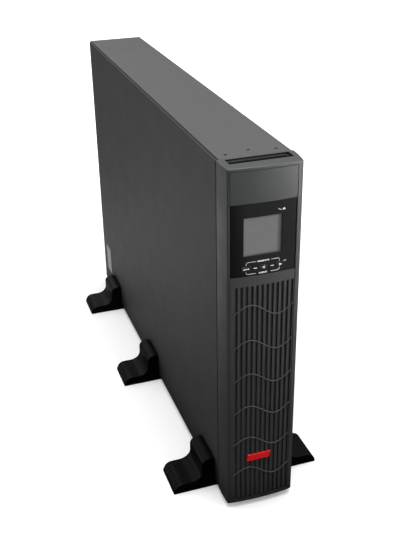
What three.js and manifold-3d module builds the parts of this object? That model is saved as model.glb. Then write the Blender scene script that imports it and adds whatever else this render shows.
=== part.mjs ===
// Uninterruptible power supply, two rack units wide, standing on its side as a tower.
// Millimetres, +Z up. X runs across the width, Y from the front (-Y) to the rear (+Y).
// The origin is on the floor, in the middle of the footprint.

import * as THREE from 'three';
import { mergeVertices } from 'three/addons/utils/BufferGeometryUtils.js';
import Module from 'manifold-3d';

const wasm = await Module();
wasm.setup();

// ---------------------------------------------------------------- driving dimensions

const CABINET_WIDTH = 87;
const CABINET_HEIGHT = 438;
const CABINET_DEPTH = 628;
const BEZEL_DEPTH = 35;
const BADGE_PROUD = 1;
const REAR_PROUD = 6;
const FOOT_BASE = 8;
const SHEET = 1.2;
const GAP = 0.3;
const BEYOND = 2; // how far a cutting tool runs past the face it cuts

const HALF_WIDTH = CABINET_WIDTH / 2;
const BOTTOM_Z = FOOT_BASE;
const TOP_Z = BOTTOM_Z + CABINET_HEIGHT;
const OVERALL_DEPTH = BADGE_PROUD + BEZEL_DEPTH + CABINET_DEPTH + REAR_PROUD;
const FRONT_Y = BADGE_PROUD - OVERALL_DEPTH / 2;
const SEAT_Y = FRONT_Y + BEZEL_DEPTH;
const REAR_Y = SEAT_Y + CABINET_DEPTH;

// The chassis has a narrow lip behind the cover's top and bottom edges.
const LIP_HEIGHT = 12;
const LIP_X = -HALF_WIDTH + SHEET + 1;
const INNER_LEFT = LIP_X + SHEET;
const INNER_RIGHT = HALF_WIDTH - SHEET;
const INNER_BOTTOM = BOTTOM_Z + SHEET;
const INNER_TOP = TOP_Z - SHEET;

// ---------------------------------------------------------------- materials

function finish(color, roughness, metalness) {
  return () => new THREE.MeshStandardMaterial({ color, roughness, metalness });
}

const coatedSteel = finish(0x3a3b3d, 0.55, 0.3);
const plainSteel = finish(0x9a9da0, 0.4, 0.85);
const aluminium = finish(0xb4b8bc, 0.35, 0.9);
const brass = finish(0xb59a4c, 0.35, 0.9);
const bezelPlastic = finish(0x3d3f40, 0.5, 0);
const blackPlastic = finish(0x0d0e0f, 0.6, 0);
const glossBlack = finish(0x0a0b0c, 0.15, 0);
const redPlastic = finish(0xd8121c, 0.35, 0);
const whitePlastic = finish(0xe6e6e2, 0.45, 0);
const greenPlastic = finish(0x2f8f3a, 0.5, 0);
const greyPlastic = finish(0x3b3d42, 0.55, 0);
const batteryPlastic = finish(0x2b2d30, 0.65, 0);
const displayGrey = finish(0x6d7072, 0.25, 0);
const labelPaper = finish(0xb5b8ba, 0.6, 0);
const cableGrey = finish(0x8d9094, 0.6, 0);
const cableRed = finish(0x8c1a14, 0.6, 0);
const circuitBoard = finish(0x1f5a34, 0.5, 0.1);
const capacitorSleeve = finish(0x1c2a55, 0.4, 0.1);
const laminatedCore = finish(0x5a5a58, 0.6, 0.4);
const copperWinding = finish(0x9c5a22, 0.45, 0.6);

// ---------------------------------------------------------------- solid helpers

const MERGE_DISTANCE = 1e-4;

function signedVolume(positions, triangles) {
  const corner = (i) => new THREE.Vector3().fromArray(positions, 3 * triangles[i]);
  let sixfold = 0;
  for (let i = 0; i < triangles.length; i += 3) {
    sixfold += corner(i).dot(corner(i + 1).cross(corner(i + 2)));
  }
  return sixfold / 6;
}

// Turns a closed three.js geometry into a solid whose faces point out.
function solid(geometry) {
  const bare = geometry.clone();
  bare.deleteAttribute('normal');
  bare.deleteAttribute('uv');
  const merged = mergeVertices(bare, MERGE_DISTANCE);
  const index = merged.index.array;
  const triangles = [];
  for (let i = 0; i < index.length; i += 3) {
    const [a, b, c] = [index[i], index[i + 1], index[i + 2]];
    if (a !== b && b !== c && c !== a) {
      triangles.push(a, b, c);
    }
  }
  const positions = new Float32Array(merged.getAttribute('position').array);
  if (signedVolume(positions, triangles) < 0) {
    triangles.reverse();
  }
  const mesh = new wasm.Mesh({ numProp: 3, vertProperties: positions, triVerts: new Uint32Array(triangles) });
  return new wasm.Manifold(mesh);
}

const join = (...solids) => solids.reduce((total, next) => total.add(next));
const cut = (body, ...tools) => tools.reduce((rest, tool) => rest.subtract(tool), body);
const repeat = (count, make) => Array.from({ length: count }, (_, i) => make(i));
const bothSides = (make) => [-1, 1].map(make);
const around = (centre, half) => [centre - half, centre + half];
const grown = ([low, high], by) => [low - by, high + by];

function block([x0, x1], [y0, y1], [z0, z1]) {
  const geometry = new THREE.BoxGeometry(x1 - x0, y1 - y0, z1 - z0);
  geometry.translate((x0 + x1) / 2, (y0 + y1) / 2, (z0 + z1) / 2);
  return solid(geometry);
}

const outline = (points) => new THREE.Shape(points.map(([u, v]) => new THREE.Vector2(u, v)));

function roundedRectangle([u0, u1], [v0, v1], radius) {
  const quarter = Math.PI / 2;
  const shape = new THREE.Shape();
  shape.absarc(u1 - radius, v0 + radius, radius, -quarter, 0, false);
  shape.absarc(u1 - radius, v1 - radius, radius, 0, quarter, false);
  shape.absarc(u0 + radius, v1 - radius, radius, quarter, 2 * quarter, false);
  shape.absarc(u0 + radius, v0 + radius, radius, 2 * quarter, 3 * quarter, false);
  return shape;
}

function extruded(shape, depth, curveSegments) {
  return new THREE.ExtrudeGeometry(shape, { depth, bevelEnabled: false, curveSegments });
}

// A plan outline (x, y) carried up Z.
function prismZ(shape, [z0, z1], curveSegments = 4) {
  return solid(extruded(shape, z1 - z0, curveSegments).translate(0, 0, z0));
}

// A front outline (x, z) carried along Y.
function prismY(shape, [y0, y1], curveSegments = 4) {
  return solid(extruded(shape, y1 - y0, curveSegments).rotateX(Math.PI / 2).translate(0, y1, 0));
}

// A side outline (y, z) carried along X.
function prismX(shape, [x0, x1], curveSegments = 4) {
  const yAxis = new THREE.Vector3(0, 1, 0);
  const zAxis = new THREE.Vector3(0, 0, 1);
  const xAxis = new THREE.Vector3(1, 0, 0);
  const turn = new THREE.Matrix4().makeBasis(yAxis, zAxis, xAxis);
  return solid(extruded(shape, x1 - x0, curveSegments).applyMatrix4(turn).translate(x0, 0, 0));
}

function rodY(x, z, radius, [y0, y1], sides = 16) {
  const geometry = new THREE.CylinderGeometry(radius, radius, y1 - y0, sides);
  return solid(geometry.translate(x, (y0 + y1) / 2, z));
}

function rodZ(x, y, radius, [z0, z1], sides = 12) {
  const geometry = new THREE.CylinderGeometry(radius, radius, z1 - z0, sides).rotateX(Math.PI / 2);
  return solid(geometry.translate(x, y, (z0 + z1) / 2));
}

// A profile of (radius, y) pairs turned about the Y axis.
function turnedY(profile, sides = 16) {
  const points = profile.map(([radius, y]) => new THREE.Vector2(radius, y));
  return solid(new THREE.LatheGeometry(points, sides));
}

// A profile of (radius, x) pairs turned about the X axis.
function turnedX(profile, sides = 20) {
  const points = profile.map(([radius, x]) => new THREE.Vector2(radius, -x));
  return solid(new THREE.LatheGeometry(points, sides).rotateZ(Math.PI / 2));
}

// ---------------------------------------------------------------- the scene graph

const ups = new THREE.Group();

function section() {
  const group = new THREE.Group();
  ups.add(group);
  return group;
}

function place(group, name, body, material, [x, y, z] = [0, 0, 0]) {
  const { vertProperties, triVerts } = body.getMesh();
  const geometry = new THREE.BufferGeometry();
  geometry.setAttribute('position', new THREE.BufferAttribute(new Float32Array(vertProperties), 3));
  geometry.setIndex(new THREE.BufferAttribute(new Uint32Array(triVerts), 1));
  geometry.computeVertexNormals();
  const mesh = new THREE.Mesh(geometry, material());
  mesh.name = name;
  mesh.position.set(x, y, z);
  group.add(mesh);
  return mesh;
}

// ---------------------------------------------------------------- chassis and cover

const WALL_CUT_Z = [BOTTOM_Z - BEYOND, TOP_Z + BEYOND];

// Rack-ear screw holes in the top and bottom walls: [x, distance behind the seat].
const EAR_HOLES = [[-28.7, 11.7], [0, 18.5], [29.7, 12]];
const EAR_HOLE_RADIUS = 1.9;

function earHoles() {
  return EAR_HOLES.map(([x, back]) => rodZ(x, SEAT_Y + back, EAR_HOLE_RADIUS, WALL_CUT_Z));
}

// Screw holes where the rear panel's flanges are fastened to both walls.
const REAR_HOLE = { x: 33.5, y: REAR_Y - 5, radius: 1.7 };

function rearHoles() {
  return bothSides((side) => rodZ(side * REAR_HOLE.x, REAR_HOLE.y, REAR_HOLE.radius, WALL_CUT_Z));
}

// Two groups of upright vent slots in the right wall, beside the power electronics.
const VENT = { count: 11, pitch: 9, width: 3.2, halfHeight: 28, firstY: 130, centresZ: [130, 330] };

function sideVents() {
  return VENT.centresZ.flatMap((z) => repeat(VENT.count, (i) => {
    const y = VENT.firstY + i * VENT.pitch;
    const wall = grown([INNER_RIGHT, HALF_WIDTH], BEYOND);
    return block(wall, [y, y + VENT.width], around(z, VENT.halfHeight));
  }));
}

// A channel folded from one sheet: right wall, top wall and bottom wall, with a lip at each open edge.
function chassis() {
  const lipTop = TOP_Z - LIP_HEIGHT;
  const lipBottom = BOTTOM_Z + LIP_HEIGHT;
  const profile = outline([
    [LIP_X, lipTop], [LIP_X, TOP_Z], [HALF_WIDTH, TOP_Z], [HALF_WIDTH, BOTTOM_Z],
    [LIP_X, BOTTOM_Z], [LIP_X, lipBottom], [INNER_LEFT, lipBottom], [INNER_LEFT, INNER_BOTTOM],
    [INNER_RIGHT, INNER_BOTTOM], [INNER_RIGHT, INNER_TOP], [INNER_LEFT, INNER_TOP], [INNER_LEFT, lipTop],
  ]);
  return cut(prismY(profile, [SEAT_Y, REAR_Y]), ...earHoles(), ...rearHoles(), ...sideVents());
}

// The left wall: one flat sheet with two stiffening flanges turned inwards, clear of the lips.
const COVER_FRONT_Y = SEAT_Y + 1.5;
const COVER_FLANGE = { depth: 9, frontY: SEAT_Y + 7, rearY: REAR_Y - 40 };

function cover() {
  const x0 = -HALF_WIDTH;
  const flangeZ = grown([BOTTOM_Z, TOP_Z], -LIP_HEIGHT - 4);
  const flange = (y) => block([x0, x0 + COVER_FLANGE.depth], [y, y + SHEET], flangeZ);
  const sheet = block([x0, x0 + SHEET], [COVER_FRONT_Y, REAR_Y], [BOTTOM_Z, TOP_Z]);
  return join(sheet, flange(COVER_FLANGE.frontY), flange(COVER_FLANGE.rearY));
}

const cabinet = section();
place(cabinet, 'chassis', chassis(), coatedSteel);
place(cabinet, 'cover', cover(), coatedSteel);

// ---------------------------------------------------------------- front plate and battery door

const PLATE_X = [INNER_LEFT + GAP, INNER_RIGHT - GAP];
const PLATE_Z = [INNER_BOTTOM + GAP, INNER_TOP - GAP];
const PLATE_Y = [SEAT_Y + 3, SEAT_Y + 3 + SHEET];
const PLATE_CUT_Y = grown(PLATE_Y, BEYOND);
const DOOR_Y = [PLATE_Y[0] - GAP - SHEET, PLATE_Y[0] - GAP];
const DOOR_X = [-37, 40];
const DOOR_Z = [18, 320];

const BATTERY_SIZE = { x: 65, y: 151, z: 94 };
const BATTERY_ROWS = 2;
const BATTERY_LEVELS = 3;
const TRAY_X = [-32, 37];
const TRAY_Y = [SEAT_Y + 9, SEAT_Y + 9 + BATTERY_ROWS * BATTERY_SIZE.y + 14];
const TRAY_Z = [22, 22 + BATTERY_LEVELS * BATTERY_SIZE.z + 8];

const CABLE_X = [-32, -8];
const CABLE_Z = 350;
const LATCH = { x: 25, halfWidth: 4, thickness: 2, bottomZ: 10.3, topZ: 438 };
const DOOR_SCREWS = [[-30, 314.5], [34, 314.5]];
const DOOR_SCREW_HOLE = 2.6;

function doorScrewHoles(yRange) {
  return DOOR_SCREWS.map(([x, z]) => rodY(x, z, DOOR_SCREW_HOLE, yRange, 12));
}

// Two rows of air slots above the battery opening.
const PLATE_VENT = { rowsZ: [368, 402], count: 7, pitch: 9, width: 4, height: 22, firstX: -28 };

function plateVents() {
  return PLATE_VENT.rowsZ.flatMap((z) => repeat(PLATE_VENT.count, (i) => {
    const x = PLATE_VENT.firstX + i * PLATE_VENT.pitch;
    return block([x, x + PLATE_VENT.width], PLATE_CUT_Y, [z, z + PLATE_VENT.height]);
  }));
}

function latchSlots() {
  const clearance = 1.2;
  return bothSides((side) => [LATCH.bottomZ, LATCH.topZ].map((z) =>
    block(around(side * LATCH.x, LATCH.halfWidth + clearance), PLATE_CUT_Y,
      grown([z, z + LATCH.thickness], clearance)))).flat();
}

function frontPlate() {
  const sheet = block(PLATE_X, PLATE_Y, PLATE_Z);
  const cableOpening = block(grown(CABLE_X, 3), PLATE_CUT_Y, [CABLE_Z - 6, CABLE_Z + 7]);
  const batteryOpening = block(grown(TRAY_X, 1.5), PLATE_CUT_Y, grown(TRAY_Z, 1.5));
  const small = [...latchSlots(), ...plateVents(), ...doorScrewHoles(PLATE_CUT_Y)];
  return cut(sheet, cableOpening, batteryOpening, ...small);
}

// A sheet door with two folded stiffening ribs.
function batteryDoor() {
  const rib = (z) => block(grown(DOOR_X, -1), [DOOR_Y[0] - 4, DOOR_Y[1]], [z, z + SHEET]);
  const sheet = join(block(DOOR_X, DOOR_Y, DOOR_Z), rib(60), rib(180));
  return cut(sheet, ...doorScrewHoles(grown(DOOR_Y, BEYOND)));
}

// A captive screw with a round knob in front of the door; its shank passes through the door and the plate.
function doorScrew() {
  const knob = { radius: 5, length: 8, chamfer: 0.8 };
  const backY = DOOR_Y[0] - GAP;
  const shankRadius = 2;
  return turnedY([
    [0, backY - knob.length], [knob.radius - knob.chamfer, backY - knob.length],
    [knob.radius, backY - knob.length + knob.chamfer], [knob.radius, backY],
    [shankRadius, backY], [shankRadius, PLATE_Y[1] + 4], [0, PLATE_Y[1] + 4],
  ]);
}

place(cabinet, 'front_plate', frontPlate(), coatedSteel);
place(cabinet, 'battery_door', batteryDoor(), coatedSteel);
DOOR_SCREWS.forEach(([x, z], i) => place(cabinet, `door_screw_${i + 1}`, doorScrew(), plainSteel, [x, 0, z]));

// ---------------------------------------------------------------- bezel

// Plan: wide at the seat, narrower at the front, with a crowned front face.
// The right side stands proud of the cabinet, the left side is flush with the cover.
const BEZEL = {
  backLeft: -HALF_WIDTH + 0.1,
  backRight: HALF_WIDTH + 2.1,
  frontHalf: 42.9,
  bottomZ: BOTTOM_Z - 1,
  backY: SEAT_Y - GAP,
  corner: 2.4,
  crown: 3,
  wall: 2.5,
};

const crownY = (x) => FRONT_Y + BEZEL.crown * (x / BEZEL.frontHalf) ** 2;

function bezelPlan(inset, backY) {
  const half = BEZEL.frontHalf - inset;
  const cornerY = crownY(BEZEL.frontHalf) + inset;
  const chamfer = 0.3 * BEZEL.corner;
  const steps = 8;
  const crown = repeat(steps + 1, (i) => {
    const x = (half - BEZEL.corner) * (2 * i / steps - 1);
    return [x, crownY(x) + inset];
  });
  return outline([
    [BEZEL.backLeft + inset, backY], [-half, cornerY + BEZEL.corner], [-half + chamfer, cornerY + chamfer],
    ...crown,
    [half - chamfer, cornerY + chamfer], [half, cornerY + BEZEL.corner], [BEZEL.backRight - inset, backY],
  ]);
}

// The grip pocket opens in the top wall, just in front of the seat. A ledge runs along its back.
const GRIP = {
  x: [-35, 37.5],
  y: [SEAT_Y - 18, SEAT_Y - 3],
  depth: 17,
  ledgeDepth: 2.5,
  ledgeWidth: 4.5,
  wall: 2,
};

function gripPocket() {
  const bottom = TOP_Z - GRIP.depth - GRIP.wall;
  return block(grown(GRIP.x, GRIP.wall), grown(GRIP.y, GRIP.wall), [bottom, TOP_Z - 1]);
}

function gripSpace() {
  return join(
    block(GRIP.x, GRIP.y, [TOP_Z - GRIP.ledgeDepth, TOP_Z + BEYOND]),
    block(GRIP.x, [GRIP.y[0], GRIP.y[1] - GRIP.ledgeWidth], [TOP_Z - GRIP.depth, TOP_Z + BEYOND]),
  );
}

const DISPLAY_OPENING = { x: [-39.7, 36.1], z: [321.5, 406.1] };

// Upright grille slots, crossed by thin ribs that each follow one sine wave.
const SLOT = { count: 12, pitch: 6.04, width: 2.6, z: [13.5, 309] };
const RIB = { count: 6, pitch: 45.15, topZ: 277.5, swing: 8, height: 1.6, wavelength: 66.4, steps: 12 };

function waveRib(z) {
  const edge = (offset) => repeat(RIB.steps + 1, (i) => {
    const x = SLOT.count * SLOT.pitch * (i / RIB.steps - 0.5);
    return [x, z + offset - RIB.swing * Math.sin(2 * Math.PI * x / RIB.wavelength)];
  });
  const shape = outline([...edge(-RIB.height / 2), ...edge(RIB.height / 2).reverse()]);
  return prismY(shape, [FRONT_Y - BEYOND, SEAT_Y]);
}

function grilleOpenings() {
  const slots = repeat(SLOT.count, (i) => {
    const x = SLOT.pitch * (i - (SLOT.count - 1) / 2);
    return block(around(x, SLOT.width / 2), [FRONT_Y - BEYOND, SEAT_Y - 20], SLOT.z);
  });
  return cut(join(...slots), ...repeat(RIB.count, (i) => waveRib(RIB.topZ - i * RIB.pitch)));
}

// Four snap tongues reach back through the front plate.
function latches() {
  const tongue = (side, z, rootY) =>
    block(around(side * LATCH.x, LATCH.halfWidth), [rootY, SEAT_Y + 8], [z, z + LATCH.thickness]);
  return bothSides((side) => [
    tongue(side, LATCH.bottomZ, SEAT_Y - 12),
    tongue(side, LATCH.topZ, GRIP.y[1] + GRIP.wall / 2),
  ]).flat();
}

function bezel() {
  const outside = prismZ(bezelPlan(0, BEZEL.backY), [BEZEL.bottomZ, TOP_Z]);
  const inside = prismZ(bezelPlan(BEZEL.wall, SEAT_Y + BEYOND), grown([BOTTOM_Z, TOP_Z], -BEZEL.wall));
  const shell = join(cut(outside, inside), gripPocket());
  const display = block(DISPLAY_OPENING.x, [FRONT_Y - BEYOND, FRONT_Y + 12], DISPLAY_OPENING.z);
  return join(cut(shell, gripSpace(), display, grilleOpenings()), ...latches());
}

// A plain slanted bar low on the grille.
function badge() {
  const [left, right, bottom, top, slant] = [-18, 11.5, 69, 79, 1.7];
  const shape = outline([[left, bottom], [right - slant, bottom], [right, top], [left + slant, top]]);
  return prismY(shape, [FRONT_Y - BADGE_PROUD, FRONT_Y - BADGE_PROUD / 10]);
}

const front = section();
place(front, 'bezel', bezel(), bezelPlastic);
place(front, 'badge', badge(), redPlastic);

// ---------------------------------------------------------------- display module

// The housing's glossy front follows the bezel's crown, a little behind it.
const MODULE = {
  x: grown(DISPLAY_OPENING.x, -0.4),
  z: grown(DISPLAY_OPENING.z, -0.4),
  recess: 0.6,
  backY: FRONT_Y + BEZEL.crown + 20,
  innerY: FRONT_Y + BEZEL.crown + 2,
  wall: 2,
  corner: 1.5,
};
const moduleFrontY = (x) => crownY(x) + MODULE.recess;
const MODULE_CUT_Y = [FRONT_Y - BEYOND, MODULE.innerY + BEYOND];
const BEHIND_WALL_Y = MODULE.innerY + GAP;
const SCREEN = { x: [-24, 18.7], z: [345.6, 389.3] };
const KEY = { xs: [-21.8, -1.9, 18.1], z: 330.5, halfX: 5.7, halfZ: 3, proud: 0.3, travel: 0.6 };
const BOARD_Y = [MODULE.innerY + 8, MODULE.innerY + 9.6];

function displayHousing() {
  const [left, right] = MODULE.x;
  const steps = 10;
  const crown = repeat(steps + 1, (i) => {
    const x = left + (right - left) * i / steps;
    return [x, moduleFrontY(x)];
  });
  const plan = outline([...crown, [right, MODULE.backY], [left, MODULE.backY]]);
  const face = roundedRectangle(MODULE.x, MODULE.z, MODULE.corner);
  const corners = prismY(face, [FRONT_Y - BEYOND, MODULE.backY]);
  const outside = prismZ(plan, MODULE.z).intersect(corners);
  const hollow = block(grown(MODULE.x, -MODULE.wall), [MODULE.innerY, MODULE.backY + BEYOND],
    grown(MODULE.z, -MODULE.wall));
  const window = block(SCREEN.x, MODULE_CUT_Y, SCREEN.z);
  const keyHoles = KEY.xs.map((x) =>
    block(around(x, KEY.halfX + GAP), MODULE_CUT_Y, around(KEY.z, KEY.halfZ + GAP)));
  return cut(outside, hollow, window, ...keyHoles);
}

// The display cell: its face fills the window, its wider body sits behind the housing's front wall.
function displayCell() {
  const faceY = moduleFrontY(SCREEN.x[0]) + 0.2;
  return join(
    block(grown(SCREEN.x, -GAP), [faceY, BEHIND_WALL_Y + 1], grown(SCREEN.z, -GAP)),
    block(grown(SCREEN.x, 3), [BEHIND_WALL_Y, BEHIND_WALL_Y + 4], grown(SCREEN.z, 3)),
  );
}

// A key cap with a flange that keeps it in the housing, and a stem that reaches towards the board.
function displayKey(x) {
  const flange = { halfX: 7, halfZ: 4.3, y: [BEHIND_WALL_Y, BEHIND_WALL_Y + 1] };
  const stemEnd = BOARD_Y[0] - KEY.travel - 0.2;
  return join(
    block(around(0, KEY.halfX), [moduleFrontY(x) - KEY.proud, BEHIND_WALL_Y + 0.5], around(0, KEY.halfZ)),
    block(around(0, flange.halfX), flange.y, around(0, flange.halfZ)),
    rodY(0, 0, 1.4, [BEHIND_WALL_Y, stemEnd], 8),
  );
}

// A flat cable that runs back through the front plate and turns up inside the cabinet.
function ribbonCable() {
  const ribbon = { thickness: 1, bend: 12, bendY: SEAT_Y + 100, topZ: CABLE_Z + 52, steps: 6 };
  const startY = BOARD_Y[1] + GAP;
  const arc = (radius) => repeat(ribbon.steps + 1, (i) => {
    const angle = (Math.PI / 2) * (i / ribbon.steps - 1);
    return [ribbon.bendY + radius * Math.cos(angle), CABLE_Z + ribbon.bend + radius * Math.sin(angle)];
  });
  const shape = outline([
    [startY, CABLE_Z], ...arc(ribbon.bend), [ribbon.bendY + ribbon.bend, ribbon.topZ],
    [ribbon.bendY + ribbon.bend - ribbon.thickness, ribbon.topZ],
    ...arc(ribbon.bend - ribbon.thickness).reverse(), [startY, CABLE_Z + ribbon.thickness],
  ]);
  return prismX(shape, CABLE_X);
}

place(front, 'lcd_housing', displayHousing(), glossBlack);
place(front, 'lcd_window', displayCell(), displayGrey);
place(front, 'lcd_board', block(grown(MODULE.x, -4), BOARD_Y, grown(MODULE.z, -4)), circuitBoard);
place(front, 'ribbon_cable', ribbonCable(), cableGrey);
['select', 'back', 'next'].forEach((word, i) =>
  place(front, `key_${word}`, displayKey(KEY.xs[i]), glossBlack, [KEY.xs[i], 0, KEY.z]));

// ---------------------------------------------------------------- battery pack

function batteryTray() {
  const [x0, x1] = TRAY_X;
  const [z0, z1] = TRAY_Z;
  const profile = outline([
    [x0, z0], [x1, z0], [x1, z1], [x0, z1], [x0, z1 - SHEET],
    [x1 - SHEET, z1 - SHEET], [x1 - SHEET, z0 + SHEET], [x0, z0 + SHEET],
  ]);
  const backWall = block(TRAY_X, [TRAY_Y[1] - SHEET, TRAY_Y[1]], TRAY_Z);
  return join(prismY(profile, TRAY_Y), backWall);
}

// A sealed lead-acid block with a stepped lid and two raised terminals on its left face.
function battery() {
  const { x, y, z } = BATTERY_SIZE;
  const lid = { depth: 6, inset: 1 };
  const terminal = { depth: 4, y: [8, 14], height: 7, fromEnd: 10 };
  const post = (z0) => block([-terminal.depth, 1], terminal.y, [z0, z0 + terminal.height]);
  return join(
    block([lid.depth, x], [0, y], [0, z]),
    block([0, lid.depth + 1], grown([0, y], -lid.inset), grown([0, z], -lid.inset)),
    post(terminal.fromEnd),
    post(z - terminal.fromEnd - terminal.height),
  );
}

function batteryPosition(row, level) {
  return [
    TRAY_X[1] - SHEET - BATTERY_SIZE.x - 0.8,
    TRAY_Y[0] + 3 + row * (BATTERY_SIZE.y + 3),
    TRAY_Z[0] + SHEET + 1 + level * (BATTERY_SIZE.z + 1.5),
  ];
}

// The battery lead rises beside the blocks and ends near the power board.
function batteryHarness() {
  const besideBlocks = -38;
  const points = [
    [besideBlocks, -60, 70], [besideBlocks, -10, 120], [-34, 18, 180], [-10, 34, 190], [20, 40, 190],
  ];
  const path = new THREE.CatmullRomCurve3(points.map(([x, y, z]) => new THREE.Vector3(x, TRAY_Y[1] + y, z)));
  const ring = new THREE.Shape().absarc(0, 0, 2.4, 0, 2 * Math.PI, false);
  return solid(new THREE.ExtrudeGeometry(ring, { extrudePath: path, steps: 14, curveSegments: 4 }));
}

const pack = section();
place(pack, 'battery_tray', batteryTray(), plainSteel);
repeat(BATTERY_ROWS, (row) => repeat(BATTERY_LEVELS, (level) =>
  place(pack, `battery_${row * BATTERY_LEVELS + level + 1}`, battery(), batteryPlastic,
    batteryPosition(row, level))));
place(pack, 'battery_harness', batteryHarness(), cableRed);

// ---------------------------------------------------------------- power electronics

const BOARD_X = [36, 37.6];
const FAN_CENTRES = [397, 312];

// A comb of upright-running fins on a base plate, in line with one fan.
function heatsink() {
  const comb = { fins: 7, pitch: 11, thickness: 2, tipX: -18, baseX: 30, backX: 34, y: [150, 288] };
  const half = comb.pitch * (comb.fins - 1) / 2 + comb.thickness / 2;
  const points = [[comb.backX, half], [comb.backX, -half]];
  repeat(comb.fins, (i) => {
    const centre = comb.pitch * (i - (comb.fins - 1) / 2);
    const [low, high] = around(centre, comb.thickness / 2);
    points.push([comb.baseX, low], [comb.tipX, low], [comb.tipX, high], [comb.baseX, high]);
  });
  return prismY(outline(points), comb.y);
}

function capacitor() {
  return turnedX([[0, -14], [16, -14], [17, -12], [17, 35], [0, 35]]);
}

function inductor() {
  return turnedX([[9, 16], [24, 16], [27, 20], [27, 31], [24, 35], [9, 35], [9, 16]]);
}

// A laminated core with a wider winding through it.
function transformer() {
  return join(
    block([-12, 35], around(0, 14), around(0, 26)),
    block([-4, 27], around(0, 25), around(0, 19)),
  );
}

const power = section();
place(power, 'power_board', block(BOARD_X, [60, 294], [24, 436]), circuitBoard);
place(power, 'charger_board', block(BOARD_X, [-150, 40], [328, 436]), circuitBoard);
place(power, 'heatsink_upper', heatsink(), aluminium, [0, 0, FAN_CENTRES[0]]);
place(power, 'heatsink_lower', heatsink(), aluminium, [0, 0, FAN_CENTRES[1]]);
place(power, 'capacitor_1', capacitor(), capacitorSleeve, [0, 250, 240]);
place(power, 'capacitor_2', capacitor(), capacitorSleeve, [0, 210, 240]);
place(power, 'transformer', transformer(), laminatedCore, [0, 210, 160]);
place(power, 'inductor', inductor(), copperWinding, [0, 210, 84]);

// ---------------------------------------------------------------- rear panel

const FAN = { x: 1, size: 80, bore: 38, depth: 25, corner: 4, screwOffset: 35.75 };
const OUTLET = { xs: [-20, 20], zs: [146, 112], halfX: 14, halfZ: 10.5 };
const INLET = { x: -13, z: 68, halfX: 15.5, halfZ: 12 };
const BREAKER = { x: 29, z: 68, radius: 7 };
const CARD_SLOT = { x: [-33, 33], z: [224, 259] };
const SERIAL = { x: -20, z: 200, halfX: 9, halfZ: 5 };
const USB = { x: 10, z: 200, halfX: 6, halfZ: 5.5 };
const EPO = { x: 30, z: 200, halfX: 6, halfZ: 5 };
const NETWORK = { x: 4, z: 178, halfX: 15.5, halfZ: 7 };
const SOCKET = { x: 8, z: 29, halfX: 24, halfZ: 8 };
const GROUND = { x: -32, z: 30, radius: 2.1 };

const PANEL_Y = [REAR_Y - SHEET, REAR_Y];
const PANEL_CUT_Y = grown(PANEL_Y, BEYOND);
const PANEL_FLANGE = 11;

const panelHole = (x, z, radius, sides) => rodY(x, z, radius + GAP, PANEL_CUT_Y, sides);
const panelWindow = ({ x, z, halfX, halfZ }) =>
  block(around(x, halfX + GAP), PANEL_CUT_Y, around(z, halfZ + GAP));

function eachOutlet(make) {
  const perRow = OUTLET.xs.length;
  return OUTLET.zs.flatMap((z, row) => OUTLET.xs.map((x, column) => make(x, z, row * perRow + column + 1)));
}

// A sheet with a flange turned forwards at its top and bottom, inside the chassis.
function rearPanel() {
  const [z0, z1] = PLATE_Z;
  const flangeY = REAR_Y - PANEL_FLANGE;
  const profile = outline([
    [flangeY, z0], [REAR_Y, z0], [REAR_Y, z1], [flangeY, z1],
    [flangeY, z1 - SHEET], [PANEL_Y[0], z1 - SHEET], [PANEL_Y[0], z0 + SHEET], [flangeY, z0 + SHEET],
  ]);
  const openings = [
    ...FAN_CENTRES.map((z) => panelHole(FAN.x, z, FAN.bore - GAP, 32)),
    ...eachOutlet((x, z) => panelWindow({ x, z, halfX: OUTLET.halfX, halfZ: OUTLET.halfZ })),
    ...[INLET, SERIAL, USB, EPO, NETWORK, SOCKET].map(panelWindow),
    panelHole(BREAKER.x, BREAKER.z, BREAKER.radius, 20),
    panelHole(GROUND.x, GROUND.z, GROUND.radius, 12),
    block(CARD_SLOT.x, PANEL_CUT_Y, CARD_SLOT.z),
  ];
  return cut(prismX(profile, PLATE_X), ...openings, ...rearHoles());
}

const rear = section();
place(rear, 'rear_panel', rearPanel(), coatedSteel);

// ---------------------------------------------------------------- fans

const FAN_Y = [PANEL_Y[0] - GAP - FAN.depth, PANEL_Y[0] - GAP];
const STRUT_Y = [FAN_Y[1] - 3.5, FAN_Y[1] - 0.5];
const BOSS_RADIUS = 5;

// A bar across the fan through its axis, turned about that axis.
function crossBar(length, height, [y0, y1], angle) {
  const bar = new THREE.BoxGeometry(length, y1 - y0, height).rotateY(angle);
  return solid(bar.translate(0, (y0 + y1) / 2, 0));
}

// A square frame with a round bore; crossed struts at the rear carry the bearing boss.
function fanFrame() {
  const side = around(0, FAN.size / 2);
  const body = prismY(roundedRectangle(side, side, FAN.corner), FAN_Y);
  const strut = (angle) => crossBar(2 * FAN.bore + 2, 4, STRUT_Y, angle);
  return join(
    cut(body, rodY(0, 0, FAN.bore, grown(FAN_Y, BEYOND), 32)),
    rodY(0, 0, 17, STRUT_Y, 20),
    strut(Math.PI / 8),
    strut(Math.PI * 5 / 8),
    rodY(0, 0, BOSS_RADIUS, [STRUT_Y[0] - 8, STRUT_Y[1]], 12),
  );
}

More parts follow.
